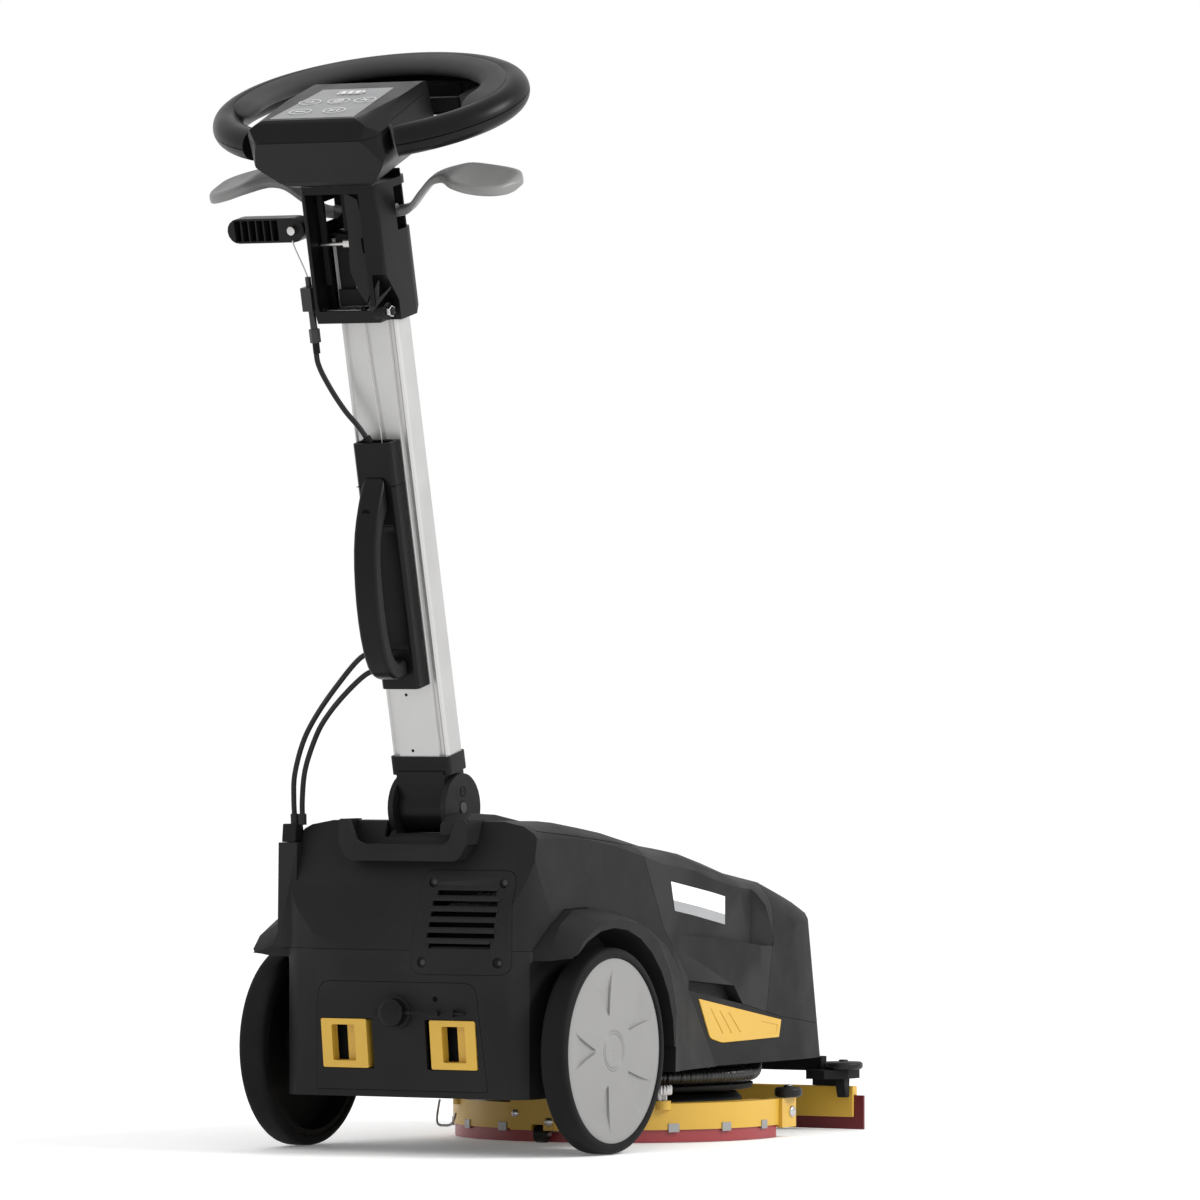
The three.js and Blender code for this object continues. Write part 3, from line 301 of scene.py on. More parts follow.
def smooth_line(points, steps):
    """Catmull-Rom through the points."""
    p = [Vector(q) for q in points]
    p = [p[0] * 2 - p[1]] + p + [p[-1] * 2 - p[-2]]
    line = []
    for i in range(1, len(p) - 2):
        for s in range(steps):
            t = s / steps
            a, b, c, d = p[i - 1:i + 3]
            line.append(0.5 * (2 * b + (c - a) * t + (2 * a - 5 * b + 4 * c - d) * t * t
                               + (3 * b - a - 3 * c + d) * t ** 3))
    return line + [p[-2]]


def sweep(line, radius, sides=16):
    """A round tube along a line. radius is a number or a function of the distance run."""
    verts, faces = [], []
    side = None
    run = 0.0
    for i, point in enumerate(line):
        ahead = line[min(i + 1, len(line) - 1)] - line[max(i - 1, 0)]
        ahead.normalize()
        if side is None:
            side = ahead.orthogonal().normalized()
        side = (side - ahead * side.dot(ahead)).normalized()
        up = ahead.cross(side)
        run += (point - line[i - 1]).length if i else 0
        r = radius(run) if callable(radius) else radius
        for k in range(sides):
            a = 2 * math.pi * k / sides
            verts.append(tuple(point + (side * math.cos(a) + up * math.sin(a)) * r))
    for i in range(len(line) - 1):
        for k in range(sides):
            m = (k + 1) % sides
            faces.append((i * sides + k, i * sides + m, (i + 1) * sides + m, (i + 1) * sides + k))
    end = (len(line) - 1) * sides
    return verts, faces + [tuple(range(sides))[::-1], tuple(range(end, end + sides))]


def rod(a, b, radius, sides=16):
    return sweep([Vector(a), Vector(b)], radius, sides)


def dome(centre, axis, radius, height, rim=0.0):
    """A bolt head: a low dome, positive or negative along its axis, on an optional rim."""
    steps = 6
    profile = [(radius, -0.2 * math.copysign(1, height)), (radius, rim)]
    profile += [(radius * math.cos(t), rim + (height - rim) * math.sin(t))
                for t in (math.pi / 2 * k / steps for k in range(1, steps + 1))]
    return lathe(profile, centre, axis, 24)


def carved(node, cutters, name, finish, bevel=0.4):
    """The CAD node with shallow cuts in it, as a piece that stands for the node."""
    source = NODES[node]
    obj = bpy.data.objects.new(name, source.data.copy())
    bpy.context.scene.collection.objects.link(obj)
    if "custom_normal" in obj.data.attributes:
        obj.data.attributes.remove(obj.data.attributes["custom_normal"])
    obj.modifiers.new("weld", "WELD").merge_threshold = 0.00001
    tools = []
    for i, (verts, faces) in enumerate(cutters):
        mesh = bpy.data.meshes.new(f"cut_{i}")
        mesh.from_pydata([AXLE @ Vector(v) for v in verts], [], faces)
        flip_outwards(mesh)
        tool = bpy.data.objects.new(f"cut_{i}", mesh)
        bpy.context.scene.collection.objects.link(tool)
        cut = obj.modifiers.new(f"cut_{i}", "BOOLEAN")
        cut.object = tool
        cut.solver = "EXACT"
        tools.append(tool)
    bpy.context.view_layer.update()
    depsgraph = bpy.context.evaluated_depsgraph_get()
    made = bpy.data.meshes.new_from_object(obj.evaluated_get(depsgraph))
    obj.modifiers.clear()
    obj.data = made
    for tool in tools:
        bpy.data.objects.remove(tool)
    made.materials.clear()
    made.materials.append(finish)
    rounded(obj, bevel)
    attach(obj, source["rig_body"])
    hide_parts(node)
    return obj


def surface_of(*names):
    """Finds where a line meets the outside of CAD nodes, in axle millimetres."""
    verts, faces = [], []
    for name in names:
        mesh = NODES[name].data
        start = len(verts)
        verts += [v.co.copy() for v in mesh.vertices]
        faces += [[i + start for i in p.vertices] for p in mesh.polygons]
    tree = BVHTree.FromPolygons(verts, faces)
    back = AXLE.inverted()

    def hit(origin, direction):
        point, normal, _, _ = tree.ray_cast(AXLE @ Vector(origin), Vector(direction))
        return (back @ point, normal) if point else (None, None)
    return hit


# Head: steering ring, pad, tray, console and keypad
RING = (155.0, 112.0, 16.0)


def ring_line(half_width, half_depth, lift, start, end, steps):
    line = []
    for i in range(steps + 1):
        a = math.radians(start + (end - start) * i / steps)
        centre = Vector((half_width * math.cos(a), half_depth * math.sin(a), lift))
        ahead = Vector((-half_width * math.sin(a), half_depth * math.cos(a), 0)).normalized()
        line.append((centre, Vector((ahead.y, -ahead.x, 0))))
    return line


def banded(line, section):
    """A section of (outward, up) points carried round a flat line."""
    n = len(section)
    verts = [tuple(c + out * a + Vector((0, 0, b))) for c, out in line for a, b in section]
    faces = [(i * n + k, i * n + (k + 1) % n, (i + 1) * n + (k + 1) % n, (i + 1) * n + k)
             for i in range(len(line) - 1) for k in range(n)]
    end = (len(line) - 1) * n
    return verts, faces + [tuple(range(n))[::-1], tuple(range(end, end + n))]


PARTING = math.radians(2.4)
angles = [PARTING + (2 * math.pi - 2 * PARTING) * k / 36 for k in range(37)]
tube_section = [(RING[2] * math.cos(a), RING[2] * math.sin(a)) for a in angles] + [(RING[2] - 0.9, 0)]
tray_walls = [block(-84, 84, 34, 84, -22, -19)]
for side in (-1, 1):
    wall = [(side * 84, 34), (side * 90, 84), (side * 86, 84), (side * 80, 34)]
    tray_walls.append(prism(wall, "z", -22, -4))
tray_walls += [block(-84, 84, 34, 37.5, -22, -4), block(-88, 88, 80, 84, -22, -4)]
ring_parts = [banded(ring_line(RING[0], RING[1], 0, -58, 238, 110), tube_section)] + tray_walls
ring_parts.append(block(-60, 60, 78, 103, -20, -6))
piece("steering_ring", *join(ring_parts), HEAD, SATIN, "mast", "black_plastic", smooth=50,
      replaces=("ring_lower",))
pad_section = []
for k in range(32):
    a = 2 * math.pi * k / 32
    squeeze = 1.0 if math.sin(a) < 0 else 0.92 + 0.08 * abs(math.cos(a))
    pad_section.append((15 * math.copysign(abs(math.cos(a)) ** 0.85, math.cos(a)),
                        10 * squeeze * math.sin(a)))
pad_line = ring_line(137, 98, 9, -22, 202, 96)
n_pad = len(pad_section)
verts, faces = banded(pad_line, pad_section)
ends = []
for i, (centre, out) in enumerate(pad_line):
    t = min(i, len(pad_line) - 1 - i) / 7
    taper = math.sin(min(1.0, t) * math.pi / 2) ** 0.6 if t < 1 else 1.0
    for k in range(n_pad):
        v = Vector(verts[i * n_pad + k])
        ends.append(tuple(centre + (v - centre) * max(0.12, taper)))
piece("ring_pad_soft", ends, faces, HEAD, PAD, "mast", "soft_grip", smooth=60, replaces=("ring_pad",))

dress("console_upper console_lower", SATIN, bevel=4.5, angle=22, segments=4)
dress("keypad_panel", FILM_GREY, bevel=0.3)


def flat_ring(cx, cy, rx, ry, width, thick, lift=0.75, steps=40):
    verts, faces = [], []
    for i in range(steps):
        a = 2 * math.pi * i / steps
        for z in (lift, lift + thick):
            for grow in (0, -width):
                verts.append((cx + (rx + grow) * math.cos(a), cy + (ry + grow) * math.sin(a), z))
    for i in range(steps):
        a, b = 4 * i, 4 * ((i + 1) % steps)
        faces += [(a, b, b + 1, a + 1), (a + 2, a + 3, b + 3, b + 2), (a, a + 2, b + 2, b),
                  (a + 1, b + 1, b + 3, a + 3)]
    return verts, faces


def bar(cx, cy, w, h, turn=0.0, lift=0.75, thick=0.12):
    c, s = math.cos(turn), math.sin(turn)
    points = [(cx + c * a * w / 2 - s * b * h / 2, cy + s * a * w / 2 + c * b * h / 2)
              for a, b in ((-1, -1), (1, -1), (1, 1), (-1, 1))]
    return prism(points, "z", lift, lift + thick)


icons = []
for cx, cy in ((-31, 4), (2, 5), (32, 6), (-24, -28), (15, -27)):
    icons.append(flat_ring(cx, cy, 12.5, 8.2, 0.9, 0.12))
icons += [bar(-33, 4, 6, 1.6), bar(-28, 4, 1.6, 5), flat_ring(2, 5, 5.5, 5.5, 1.0, 0.12),
          flat_ring(2, 5, 2.4, 2.4, 1.0, 0.12)]
icons += [bar(32, 6, 9, 1.4, 0.3), bar(30, 8, 1.4, 4), bar(34, 4, 1.4, 4), bar(-24, -28, 11, 2.0)]
icons += [bar(12, -27, 7, 1.4, 0.8), bar(12, -27, 7, 1.4, -0.8), bar(19, -27, 1.6, 6)]
for a in range(6):
    t = math.pi / 3 * a
    icons.append(bar(2 + 4.2 * math.cos(t), 5 + 4.2 * math.sin(t), 2.4, 0.9, t))
icons += [bar(0, 38.5, 27, 1.1), bar(0, 28.5, 27, 1.1), bar(-13.5, 33.5, 1.1, 11), bar(13.5, 33.5, 1.1, 11),
          bar(15.5, 33.5, 1.8, 4)]
icons += [bar(x, 33.5, 5.6, 7) for x in (-8, 0, 8)]
piece("keypad_print", *join(icons), FILM, PRINT, "mast", "panel_film")


# Paddles of the squeeze lever
def blended(table, x):
    """Smooth curve through (x, value) pairs."""
    n = len(table)
    slopes = []
    for i in range(n):
        (x0, v0), (x1, v1) = table[max(i - 1, 0)], table[min(i + 1, n - 1)]
        slopes.append((v1 - v0) / (x1 - x0))
    for i in range(n - 1):
        (x0, v0), (x1, v1) = table[i], table[i + 1]
        if x <= x1:
            w = x1 - x0
            t = (x - x0) / w
            return (v0 * (1 + 2 * t) * (1 - t) ** 2 + slopes[i] * w * t * (1 - t) ** 2
                    + v1 * t * t * (3 - 2 * t) + slopes[i + 1] * w * t * t * (t - 1))
    return table[-1][1]


HEIGHT = ((34, 612), (52, 616), (70, 632), (88, 646), (116, 650), (140, 645), (178, 634))
REAR = ((34, 0), (98, -3), (120, -21), (140, -25), (160, -18), (172, -4), (178, 16))
FRONT = ((34, 16), (98, 20), (122, 31), (150, 38), (166, 39), (173, 34), (178, 21))
paddle_parts = []
for side in (-1, 1):
    sections = []
    steps = 48
    for i in range(steps + 1):
        x = 34 + 144 * i / steps
        y0, y1 = blended(REAR, x), blended(FRONT, x)
        z = blended(HEIGHT, x)
        thick = 4.4 + 1.6 * min(1.0, max(0.0, (x - 90) / 30)) if x < 172 else 6.0 * math.sqrt(max(0.02,
            1 - ((x - 172) / 6.2) ** 2))
        dish = 2.2 * min(1.0, max(0.0, (x - 118) / 20)) * min(1.0, max(0.0, (172 - x) / 12))
        ring = []
        for k in range(28):
            a = 2 * math.pi * k / 28
            u = math.copysign(abs(math.cos(a)) ** 0.35, math.cos(a))
            w = math.copysign(abs(math.sin(a)) ** 0.6, math.sin(a))
            y = (y0 + y1) / 2 + (y1 - y0) / 2 * u
            sink = dish * max(0.0, 1 - (abs(u) / 0.72) ** 4) if w > 0 else 0
            h = z + thick * w - sink
            t = math.radians(12)
            dy, dz = y - 8, h - 616
            ring.append((side * x, 8 + dy * math.cos(t) - dz * math.sin(t),
                         616 + dy * math.sin(t) + dz * math.cos(t)))
        sections.append(ring)
    n = 28
    verts = [v for ring in sections for v in ring]
    faces = [(i * n + k, i * n + (k + 1) % n, (i + 1) * n + (k + 1) % n, (i + 1) * n + k)
             for i in range(steps) for k in range(n)]
    faces += [tuple(range(n))[::-1], tuple(range(steps * n, steps * n + n))]
    paddle_parts.append((verts, faces))
paddle_parts.append(rod((-36, 8, 616), (36, 8, 616), 4.4, 24))
piece("grip_paddles", *join(paddle_parts), MAST, LIGHT_GREY, "paddle_lever", "grey_plastic", smooth=55,
      replaces=("paddle_lever",))

# Column with the linkage inside it
dress("head_column", SATIN, bevel=1.2, angle=35)
plate = [(6, 642), (21, 634), (27, 598), (20, 594), (21, 580), (26.6, 578), (27, 545), (18, 529), (10, 541),
         (3, 562), (6, 599)]
piece("linkage_plate", *prism(plate, "y", -42, -38.5), MAST, BODY, "mast", "body_plastic", bevel=0.5)
wedges = [prism([(19, 527), (35, 552), (31, 530)], "y", -42.5, -40),
          prism([(20, 524), (48, 545), (46, 542), (24, 520)], "y", -43, -41)]
piece("linkage_wedges", *join(wedges), MAST, BODY, "mast", "body_plastic")
piece("linkage_rod", *join([rod((-37, -25, 586), (5, -25, 587), 2),
                            rod((-9, -25, 587), (2, -25, 587), 5.2, 24)]),
      MAST, STEEL, "mast", "steel")
inside = [block(-36, -30, -26, -21, 545, 640), block(-24, 12, -24, -21, 523, 540),
          block(-8, 4, -26, -21, 600, 640)]
piece("linkage_ribs", *join(inside), MAST, FLAT, "mast", "black_plastic", bevel=0.6)
walls = [block(-40, 40, 14, 16, 596, 655), block(-22.8, 22.8, -18.2, -16.3, 526, 595)]
walls += [block(x, x + 1.6, -18, 14, 526, 594) for x in (-24.6, 23)]
walls += [block(-40.8, -39.6, -24, 14, z0, z1) for z0, z1 in ((588, 606), (626, 655))]
piece("column_lining", *join(walls), MAST, FLAT, "mast", "black_plastic", bevel=0.3)
dress("cross_rod", STEEL, bevel=0.4)
dress("cable_adjuster", CASE, bevel=0.4)
caps = [dome((42, -34, 519), "x", 4.4, 1.6, 0.4), rod((-38, -34, 519), (-33, -34, 519), 5.5, 20),
        rod((8, -34, 519), (13, -34, 519), 5, 20)]
piece("cross_rod_collars", *join(caps), MAST, FLAT, "mast", "black_plastic")

# Squeegee lever, its wire and the cables
dress("squeegee_lever", SATIN, bevel=0.5, angle=40)
wire = smooth_line([(-60, -41, 594), (-58, -41.5, 586), (-52.5, -38.5, 566), (-50, -37, 555)], 6)
inner = piece("lever_wire", *sweep(wire, 0.8, 8), MAST, STEEL, None, "steel")
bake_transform(inner)
piece("lever_pivot_cap", *join([dome((-60, -42, 604), "y", 4.6, -2.0, -0.6),
                                rod((-60, -38, 604), (-60, -42, 604), 3.4)]),
      MAST, STEEL, "mast", "steel")
strand = smooth_line([(-6, -19.6, 560), (-3, -19.2, 510), (0, -18.6, 440), (3, -20, 389), (3, -22, 378)], 4)
piece("mast_wire", *sweep(strand, 0.6, 8), MAST, STEEL, "mast", "steel")

CABLE_ROUTES = {
    "lower_cable_left": [(-138.6, -78, 331.4), (-140.5, -77, 356), (-140, -76, 381), (-131, -75, 413),
                         (-112, -82, 439),
                         (-77, -99, 470), (-45, -103, 500), (-23.4, -103, 505)],
    "lower_cable_right": [(-129.4, -78, 331.4), (-131, -76, 356), (-129, -74, 385), (-119, -74, 413),
                          (-102, -82, 435),
                          (-70, -98, 460), (-42, -98, 483), (-23.4, -98, 487)],
}
for name, route in CABLE_ROUTES.items():
    jacket = piece(name + "_jacket", *sweep(smooth_line(route, 8), 2.75, 16), AXLE, RUBBER, None,
                   "black_rubber",
                   replaces=(name,))
    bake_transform(jacket)
upper = [(-50, -37, 488.6), (-50, -37.5, 468), (-41, -37, 445), (-27, -36, 420), (-14, -33, 401),
         (-7, -29, 385.4)]
piece("upper_cable_jacket", *sweep(smooth_line(upper, 8), 2.75, 16), MAST, RUBBER, "mast", "black_rubber",
      replaces=("upper_cable",))
sleeves = [sweep(smooth_line([upper[0], (-50, -37.2, 478)], 2), 3.6, 16),
           rod((-9, -30, 390), (-6.4, -28.6, 384), 4.4, 16)]
piece("upper_cable_sleeves", *join(sleeves), MAST, FLAT, "mast", "black_rubber")

# Mast, grip housing, carry handle and hinge
dress("mast_tube", ALUMINIUM, bevel=0.8, angle=30)
dress("grip_housing", SATIN, bevel=0.9, angle=35)
dress("carry_handle", SATIN, bevel=4.2, angle=50, segments=4)
# Dark plugs in the two mast holes: painted shade of the holes.
dots = [rod((-7, -16.15, z), (-7, -15, z), 1.6, 16) for z in (121, 63)]
piece("mast_holes", *join(dots), MAST, HOLE_SHADE, "mast", "mast_aluminium")
# A dark strip along the housing's split line: painted shade in the gap.
split_line = [block(-22.1, 22.1, -38.15, -16.8, 340.4, 341.0)]
piece("housing_split", *join(split_line), MAST, HOLE_SHADE, "mast", "black_plastic")
# Dark disc in the handle screw's recess: painted shade.
piece("handle_screw", *join([lathe([(0.1, -61.2), (2.6, -61.2), (4.2, -61.6), (4.4, -60.6)], (-1, 0, 318),
                                   "y", 24)]),
      MAST, HOLE_SHADE, "mast", "black_plastic")
dress("hinge_yoke", BODY, bevel=1.4, angle=40, segments=3)
dress("mast_knuckle", SATIN, bevel=1.0, angle=38)
dress("hinge_pin", CASE, bevel=0.4)
for side in (-1, 1):
    pins = []
    for y, z in ((-34.6, 364.5), (-34.6, 350)):
        pins.append(lathe([(5.6, side * 34.0), (5.6, side * 34.5), (4.6, side * 34.6), (4.2, side * 33.9),
                           (0.1, side * 33.9)],
                          (0, y, z), "x", 28))
        pins.append(block(min(side * 33.8, side * 34.3), max(side * 33.8, side * 34.3), y - 3.4, y + 3.4,
                          z - 0.6, z + 0.6))
    piece(f"hinge_screws_{'left' if side < 0 else 'right'}", *join(pins), AXLE, FLAT, "chassis",
          "black_plastic")

# Body shells
dress("base_chassis rear_shell recovery_tank solution_tank", BODY, bevel=0.9, angle=26)
dress("top_cover grab_rail", BODY, bevel=0.8, angle=28)
dress("battery_door", BODY, bevel=0.5, angle=40)
dress("cable_gland", SATIN, bevel=1.0)
boots = [rod((-138.6, -78, 330), (-139.4, -77.6, 341), 4.2, 16),
         rod((-129.4, -78, 330), (-130.1, -77.2, 341), 4.2, 16)]
piece("gland_sleeves", *join(boots), AXLE, RUBBER, "chassis", "black_rubber")

hump = []
for y, top in ((-84, 333), (-74, 340), (-62, 343), (-18, 341), (30, 334), (80, 324)):
    hump.append([(x, y, z) for x, z in ((35.6, top - 12), (36.4, top - 1.2), (37.6, top), (62, top),
                                        (63.6, top - 1), (69, top - 12))])
verts = [v for section in hump for v in section]
faces = [(i * 6 + k, i * 6 + (k + 1) % 6, i * 6 + 6 + (k + 1) % 6,
          i * 6 + 6 + k) for i in range(len(hump) - 1) for k in range(6)]
faces += [tuple(range(6))[::-1], tuple(range(len(verts) - 6, len(verts)))]
piece("hump_cover", verts, faces, AXLE, BODY, "chassis", "body_plastic", smooth=30, bevel=1.2)

VENT = {"left": 19.0, "right": 127.0, "bottom": 182.0, "top": 286.0}


def rear_face(z):
    """Depth of the rear face at a height, with its panels level with it."""
    if z > 205.6:
        return -113 + (z - 205.6) * 40 / 110.4
    return -97 - 16 * (z - 57) / 138.6 if z < 195.6 else -113


screw_spots = [(x, z) for x in (VENT["left"] + 13, VENT["right"] - 13) for z in (VENT["bottom"] + 12,
    VENT["top"] - 12)]
find_vent = surface_of("vent_grille")
sockets, screws = [], []
for x, z in screw_spots:
    point, _ = find_vent((x + 3.4, -200, z), (0, 1, 0))
    y = point.y if point else rear_face(z)
    sockets.append(rod((x, y - 3, z), (x, y + 2.0, z), 5.4, 24))
    screws += [dome((x, y + 2.2, z), "y", 3.2, -0.9, -0.2)]
carved("vent_grille", sockets, "vent_cover", BODY, bevel=0.5)
piece("vent_screws", *join(screws), AXLE, CASE, "chassis", "steel")
hoods = []
for i in range(6):
    z = VENT["bottom"] + 26 + i * 10.6
    inset = 20 if i in (0, 5) else 16
    x0, x1 = VENT["left"] + inset - 1.5, VENT["right"] - inset + 1.5
    point, _ = find_vent(((x0 + x1) / 2, -200, z + 7.6), (0, 1, 0))
    y = point.y if point else rear_face(z + 7.6)
    profile = [(y + 0.4, z + 9.2), (y - 1.2, z + 7.6), (y - 2.2, z + 5.6), (y - 1.7, z + 4.9),
               (y + 0.2, z + 5.3)]
    hoods.append(prism(profile, "x", x0, x1))
piece("vent_hoods", *join(hoods), AXLE, BODY, "chassis", "body_plastic", bevel=0.3)
# A dark sheet behind the louvres: painted shade of the vent's inside.
piece("vent_shade_backing", *block(VENT["left"] + 14, VENT["right"] - 14, -86, -85.4, 207, 268), AXLE, HOLE_SHADE,
      "chassis", "black_plastic")

for word, x in (("left", -80.4), ("right", 48.4)):
    carved(f"door_latch_{word}", [block(x + 2.8, x + 15.5, -125, -80, 93.6, 129)], f"door_latch_{word}_pull",
           YELLOW,
           bevel=0.6)
dress("charge_cap", SATIN, bevel=0.8, angle=40)
find_door = surface_of("battery_door")
grip = [lathe([(0.1, -123.4), (10, -123.4), (12.2, -122.8), (14, -121.4), (14.6, -118)], (0, 0, 143), "y",
              48, 24, 0.5)]
piece("charge_cap_grip", *join(grip), AXLE, SATIN, "charge_cap", "black_plastic")
clasp = [block(66, 68.4, -113.6, -108.6, 139.4, 146.6), block(66, 80, -113.2, -108.6, 142.2, 143.8)]
piece("charge_cap_strap_end", *join(clasp), AXLE, SATIN, "battery_door", "black_plastic", bevel=0.3)
point, _ = find_door((45, -200, 157), (0, 1, 0))
lamp_y = point.y if point else rear_face(157)
# The lamp's small hollow takes the near-black finish: painted shade in the hole.
piece("charge_lamp", *lathe([(0.1, lamp_y - 0.1), (1.7, lamp_y - 0.25), (2.6, lamp_y - 0.6),
                             (2.9, lamp_y + 0.2)], (45, 0, 157), "y", 24),
      AXLE, HOLE_SHADE, "battery_door", "black_plastic")

# Side latches: three slanting grooves and a square relief
for word, side in (("left", -1), ("right", 1)):
    cuts = []
    for i in range(3):
        y = 256 + i * 19
        line = [(y, 137.5 - i * 2.6), (y + 2.4, 137.2 - i * 2.6), (y + 27.4, 111), (y + 25, 111)]
        cuts.append(prism(line, "x", min(side * 158.2, side * 162), max(side * 158.2, side * 162)))
    square = [(366, 121), (401, 116), (398, 107), (362, 107.5)]
    cuts.append(prism(square, "x", min(side * 158.3, side * 162), max(side * 158.3, side * 162)))
    carved(f"side_latch_{word}", cuts, f"side_latch_{word}_cover", YELLOW, bevel=0.5)

# Blank label plate, laid on the right side
find_side = surface_of("recovery_tank")


def laid_on(corners, columns, rows, lift, thick):
    """A thin plate draped on the side between four (y, z) corners.

    They are rear top, front top, front bottom and rear bottom.
    """
    grid = []
    for j in range(rows + 1):
        for i in range(columns + 1):
            u, v = i / columns, j / rows
            top = Vector(corners[0]).lerp(Vector(corners[1]), u)
            low = Vector(corners[3]).lerp(Vector(corners[2]), u)
            y, z = top.lerp(low, v)
            hit, normal = find_side((260, y, z), (-1, 0, 0))
            grid.append((hit + normal * lift) if hit else Vector((152, y, z)))
    n = columns + 1
    size = len(grid)
    verts = [tuple(p) for p in grid] + [tuple(p + Vector((thick, 0, 0))) for p in grid]
    quads = [(j * n + i, j * n + i + 1, (j + 1) * n + i + 1, (j + 1) * n + i)
             for j in range(rows) for i in range(columns)]
    faces = quads + [tuple(k + size for k in q)[::-1] for q in quads]
    rim = list(range(n)) + [j * n + n - 1 for j in range(1, rows + 1)]
    rim += [rows * n + i for i in range(n - 2, -1, -1)] + [j * n for j in range(rows - 1, 0, -1)]
    faces += [(a, b, b + size, a + size) for a, b in zip(rim, rim[1:] + rim[:1])]
    return verts, faces


piece("label_plate", *laid_on([(191, 270), (306, 252), (306, 233.4), (191, 250.8)], 16, 6, 0.1, 0.35), AXLE,
      LABEL,
      "recovery_tank", "body_plastic")
piece("label_plate_band", *laid_on([(191, 250.6), (306, 233.2), (306, 223), (191, 240)], 16, 4, 0.1, 0.35),
      AXLE, BAND,
      "recovery_tank", "body_plastic")

# Wheels
TYRE_PROFILE = [(93.4, 163.2), (95, 162.5), (99, 162.6), (101.6, 163.6), (103.2, 165.4), (103.9, 168),
                (104, 171), (104, 183),
                (103.9, 186), (103.2, 188.6), (101.6, 190.4), (99, 191.4), (96, 191.5), (94.4, 191.0),
                (93.7, 190.0), (93.4, 188),
                (93.4, 163.2)]
LEAVES = 5
LEAF_START, LEAF_END = 36.0, 84.0


def leaf_half(radius):
    """Half the angle that one leaf-shaped hollow of the hub takes at a radius, in degrees."""
    t = min(1.0, max(0.0, (radius - LEAF_START) / (LEAF_END - LEAF_START)))
    return 0.6 + 13.5 * t ** 0.62


def hub_height(radius, inside):
    """Height of the hub's outer face: a dished disc with hollows and a ring round its blank centre."""
    height = 190.3 - 0.9 * (1 - min(1.0, radius / 88)) ** 2
    if radius > 88:
        height -= 0.8 * ((radius - 88) / 5.2) ** 2
    t = (radius - LEAF_START) / (LEAF_END - LEAF_START)
    if inside and 0 < t < 1:
        height -= 2.4 * min(1.0, t * 12) * min(1.0, (1 - t) / 0.4)
    for groove in (17.4, 20.4):
        height -= 0.8 * math.exp(-((radius - groove) / 0.45) ** 2)
    return height


def hub_angles(radius):
    """Angles round the hub, with steps along both edges of every leaf, and whether each is inside one."""
    half, step = leaf_half(radius), 0.3
    sector = 180 / LEAVES
    angles = []
    for leaf in range(LEAVES):
        middle = 106.6 + 360 / LEAVES * leaf
        for k in range(9):
            angles.append((middle - sector + (sector - half - step) * k / 8, False))
        for k in range(9):
            angles.append((middle + (half - step) * (k / 4 - 1), True))
        for k in range(8):
            angles.append((middle + half + step + (sector - half - step) * k / 8, False))
    return [(math.radians(a), inside) for a, inside in angles]


for word, side in (("left", -1), ("right", 1)):
    body = f"{word}_wheel"
    profile = [(r, side * h) for r, h in TYRE_PROFILE]
    piece(f"tyre_{word}_solid", *lathe(profile, (0, 0, 104), "x", 112), AXLE, TYRE, body, "tyre_rubber",
          smooth=50,
          replaces=(f"tyre_{word}",))
    rings = [0.5, 6, 12, 16, 16.6, 17.0, 17.4, 17.8, 18.4, 19.6, 20.0, 20.4, 20.8, 21.4, 24, 28, 32, 35]
    rings += [36 + 0.92 * k for k in range(51)] + [84, 86, 88, 89.5, 91, 92.2, 93.2]
    verts, faces = [], []
    for r in rings:
        for a, inside in hub_angles(r):
            verts.append((side * hub_height(r, inside), side * r * math.cos(a), 104 + r * math.sin(a)))
    spokes = len(verts) // len(rings)
    back = [(93.2, 163.6), (88, 163.6), (86, 183), (24, 183), (22, 166), (8.6, 166), (8.6, 183), (0.5, 183)]
    for r, h in back:
        for a, _ in hub_angles(r):
            verts.append((side * h, side * r * math.cos(a), 104 + r * math.sin(a)))
    total = len(rings) + len(back)
    for i in range(total - 1):
        for k in range(spokes):
            m = (k + 1) % spokes
            faces.append((i * spokes + k, i * spokes + m, (i + 1) * spokes + m, (i + 1) * spokes + k))
    last = (total - 1) * spokes
    faces += [tuple(range(spokes)), tuple(range(last, last + spokes))[::-1]]
    hub = piece(f"hub_{word}_face", verts, faces, AXLE, HUB, body, "grey_plastic", smooth=38,
                replaces=(f"wheel_hub_{word}",))
    # The hub's back and inner side take the flat black finish: painted shade, as the inner face is the grey
    # hub plastic in shadow.
    hub.data.materials.append(FLAT)
    for polygon in hub.data.polygons[len(rings) * spokes:]:
        polygon.material_index = 1

# Under the body
dress("wheel_axle", STEEL, bevel=0.4)
dress("battery_pack suction_motor solution_pump brush_disc deck_plate", FLAT, bevel=0.8)
dress("brush_motor", CASE, bevel=0.6)
dress("front_bracket", FLAT, bevel=1.2)
dress("front_holder", YELLOW, bevel=0.8)
dress("front_blade", DARK_RED, bevel=0.3)
dress("squeegee_holder", YELLOW, bevel=0.8, angle=34)
dress("squeegee_blade", RED, bevel=0.3, angle=34)
dress("support_roller front_bumper_left front_bumper_right squeegee_bumper_left squeegee_bumper_right",
      RUBBER, bevel=0.6)

tufts = []
for radius, count in ((70, 44), (84, 52), (98, 60), (112, 70), (125, 78)):
    for i in range(count):
        a = 2 * math.pi * (i + 0.5 * (radius % 4 == 0)) / count
        lean = (radius - 60) / 70
        foot, top = radius * (1 + 0.04 * lean), radius
        jitter = random.uniform(-0.01, 0.01)
        line = [Vector((foot * math.cos(a + jitter), BRUSH_Y + foot * math.sin(a + jitter), 0.2)),
                Vector((top * math.cos(a), BRUSH_Y + top * math.sin(a), 35.8))]
        tufts.append(sweep(line, lambda run: 3.6 - run * 0.02, 7))
piece("brush_tufts", *join(tufts), AXLE, BRISTLE, "brush", "bristle_fibre", replaces=("brush_bristles",))

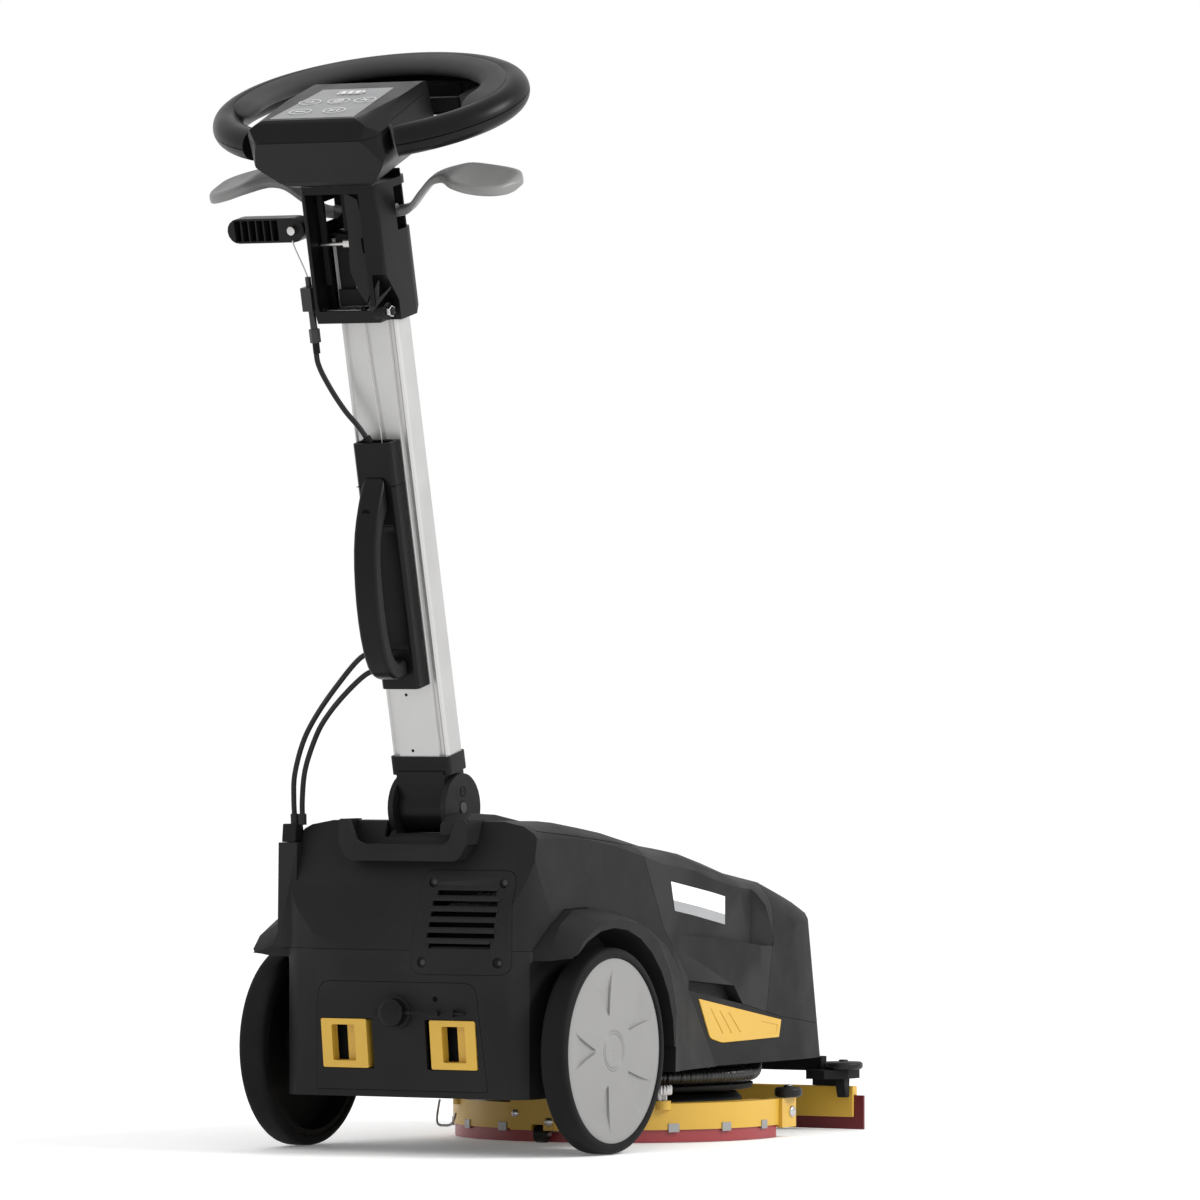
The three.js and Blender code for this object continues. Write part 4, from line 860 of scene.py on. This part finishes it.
hose = smooth_line([(-4.8, 190, 62), (12, 190.4, 62.4), (48, 201, 65), (90, 229, 66), (122, 270, 66),
                    (137, 320, 66), (139, 360, 66), (130, 400, 68), (117, 425, 80), (112, 433, 98),
                    (112, 434, 114.6)], 44)
RIB_PITCH = 5.2
RIB_ROOT = 6.7
RIB_HEIGHT = 1.7
ribbed = sweep(hose,
               lambda run: RIB_ROOT + RIB_HEIGHT * abs(math.cos(math.pi * run / RIB_PITCH)) ** 0.6, 20)
piece("corrugated_hose", *ribbed, AXLE, HOSE, "chassis", "black_rubber", smooth=60,
      replaces=("suction_hose",))

for word, side in (("left", -1), ("right", 1)):
    head = [(0.1, 43.4), (4.9, 43.4), (5, 49), (9.6, 49.2), (10.4, 50), (10.4, 57), (9.4, 59.4), (7, 60),
            (0.1, 60)]
    piece(f"thumb_knob_{word}_head", *lathe(head, (side * 120, 224, 0), "z", 96, 18, 0.9), AXLE, STEEL,
          f"thumb_knob_{word}",
          "steel", replaces=(f"thumb_knob_{word}",))
    tops = [dome((side * 175, 395, 53.0), "z", 4.2, 1.5, 0.4)]
    piece(f"squeegee_bumper_{word}_screw", *join(tops), AXLE, STEEL, f"squeegee_bumper_{word}", "steel")
    piece(f"front_bumper_{word}_screw", *dome((side * 158, 548, 73.6), "z", 3.8, 1.2, 0.3), AXLE, STEEL,
          f"front_bumper_{word}",
          "steel")
    tooth = [(541, 62), (541, 48), (545, 34), (552, 34), (553.2, 52), (553.2, 62)]
    x0, x1 = sorted((side * 152, side * 163))
    piece(f"bracket_tooth_{word}", *prism(tooth, "x", x0, x1), AXLE, FLAT, "chassis", "black_plastic",
          bevel=0.8)

# Squeegee fittings: clips along the lower edge, bolts, wire link
clips = []
for degrees in range(1, -190, -21):
    a = math.radians(degrees)
    c, s = math.cos(a), math.sin(a)
    outline = []
    for r, w in ((171.6, -6), (173.8, -6), (173.8, 6), (171.6, 6)):
        outline.append((r * c - w * s, BRUSH_Y + r * s + w * c))
    clips.append(prism(outline, "z", 10.5, 19.5))
piece("blade_clips", *join(clips), AXLE, CLIP, "squeegee", "steel", bevel=0.3)
ROLLER_SIDE = 20.2
bolts = [dome((side * 177, 399, 26), "x", 6.0, side * 3.2, side * 0.6) for side in (-1, 1)]
bolts += [dome((28, 150, 22), "y", 4.6, -3, -1), dome((-12, 150, 30), "y", 4.0, -2.6, -0.8)]
bolts.append(rod((ROLLER_SIDE, 160, 9), (ROLLER_SIDE + 4, 160, 9), 2.4))
piece("squeegee_bolts", *join(bolts), AXLE, STEEL, "squeegee", "steel")
link = smooth_line([(-118, 176, 41), (-119, 174, 30), (-119, 172, 20), (-117, 172, 15), (-111, 174, 14),
                    (-105, 176, 15),
                    (-102, 178, 20), (-101, 180, 27)], 6)
piece("squeegee_wire_link", *sweep(link, 1.3, 10), AXLE, STEEL, "squeegee", "steel")

# Floor, light and surroundings
floor_mesh = bpy.data.meshes.new("floor")
FLOOR_HALF = 60
FLOOR_DROP = 0.0006
FLOOR_GLOW = 0.12
floor_corners = [(x * FLOOR_HALF, y * FLOOR_HALF, 0) for x, y in ((-1, -1), (1, -1), (1, 1), (-1, 1))]
floor_mesh.from_pydata(floor_corners, [], [(0, 1, 2, 3)])
floor = bpy.data.objects.new("floor", floor_mesh)
bpy.context.scene.collection.objects.link(floor)
floor.location.z = -FLOOR_DROP
floor_mesh.materials.append(material("floor_pale", (0.93, 0.93, 0.93), 0.6, grain=40, depth=0.01, vary=0.004,
                                     specular=0.2))
floor_shader = floor_mesh.materials[0].node_tree.nodes["Principled BSDF"]
floor_shader.inputs["Emission Color"].default_value = (1, 1, 1, 1)
floor_shader.inputs["Emission Strength"].default_value = FLOOR_GLOW

world = bpy.data.worlds.new("studio")
bpy.context.scene.world = world
world.use_nodes = True
world.node_tree.nodes["Background"].inputs["Color"].default_value = (1, 1, 1, 1)
world.node_tree.nodes["Background"].inputs["Strength"].default_value = 1.0


def lamp(name, place, target, size, power):
    data = bpy.data.lights.new(name, "AREA")
    data.size = size
    data.energy = power
    light = bpy.data.objects.new(name, data)
    bpy.context.scene.collection.objects.link(light)
    light.location = place
    light.rotation_euler = (Vector(target) - Vector(place)).to_track_quat("-Z", "Y").to_euler()


lamp("key", (3.4, 0.6, 2.6), (0, 0, 0.5), 1.2, 115)
bpy.context.scene.view_settings.view_transform = "Standard"
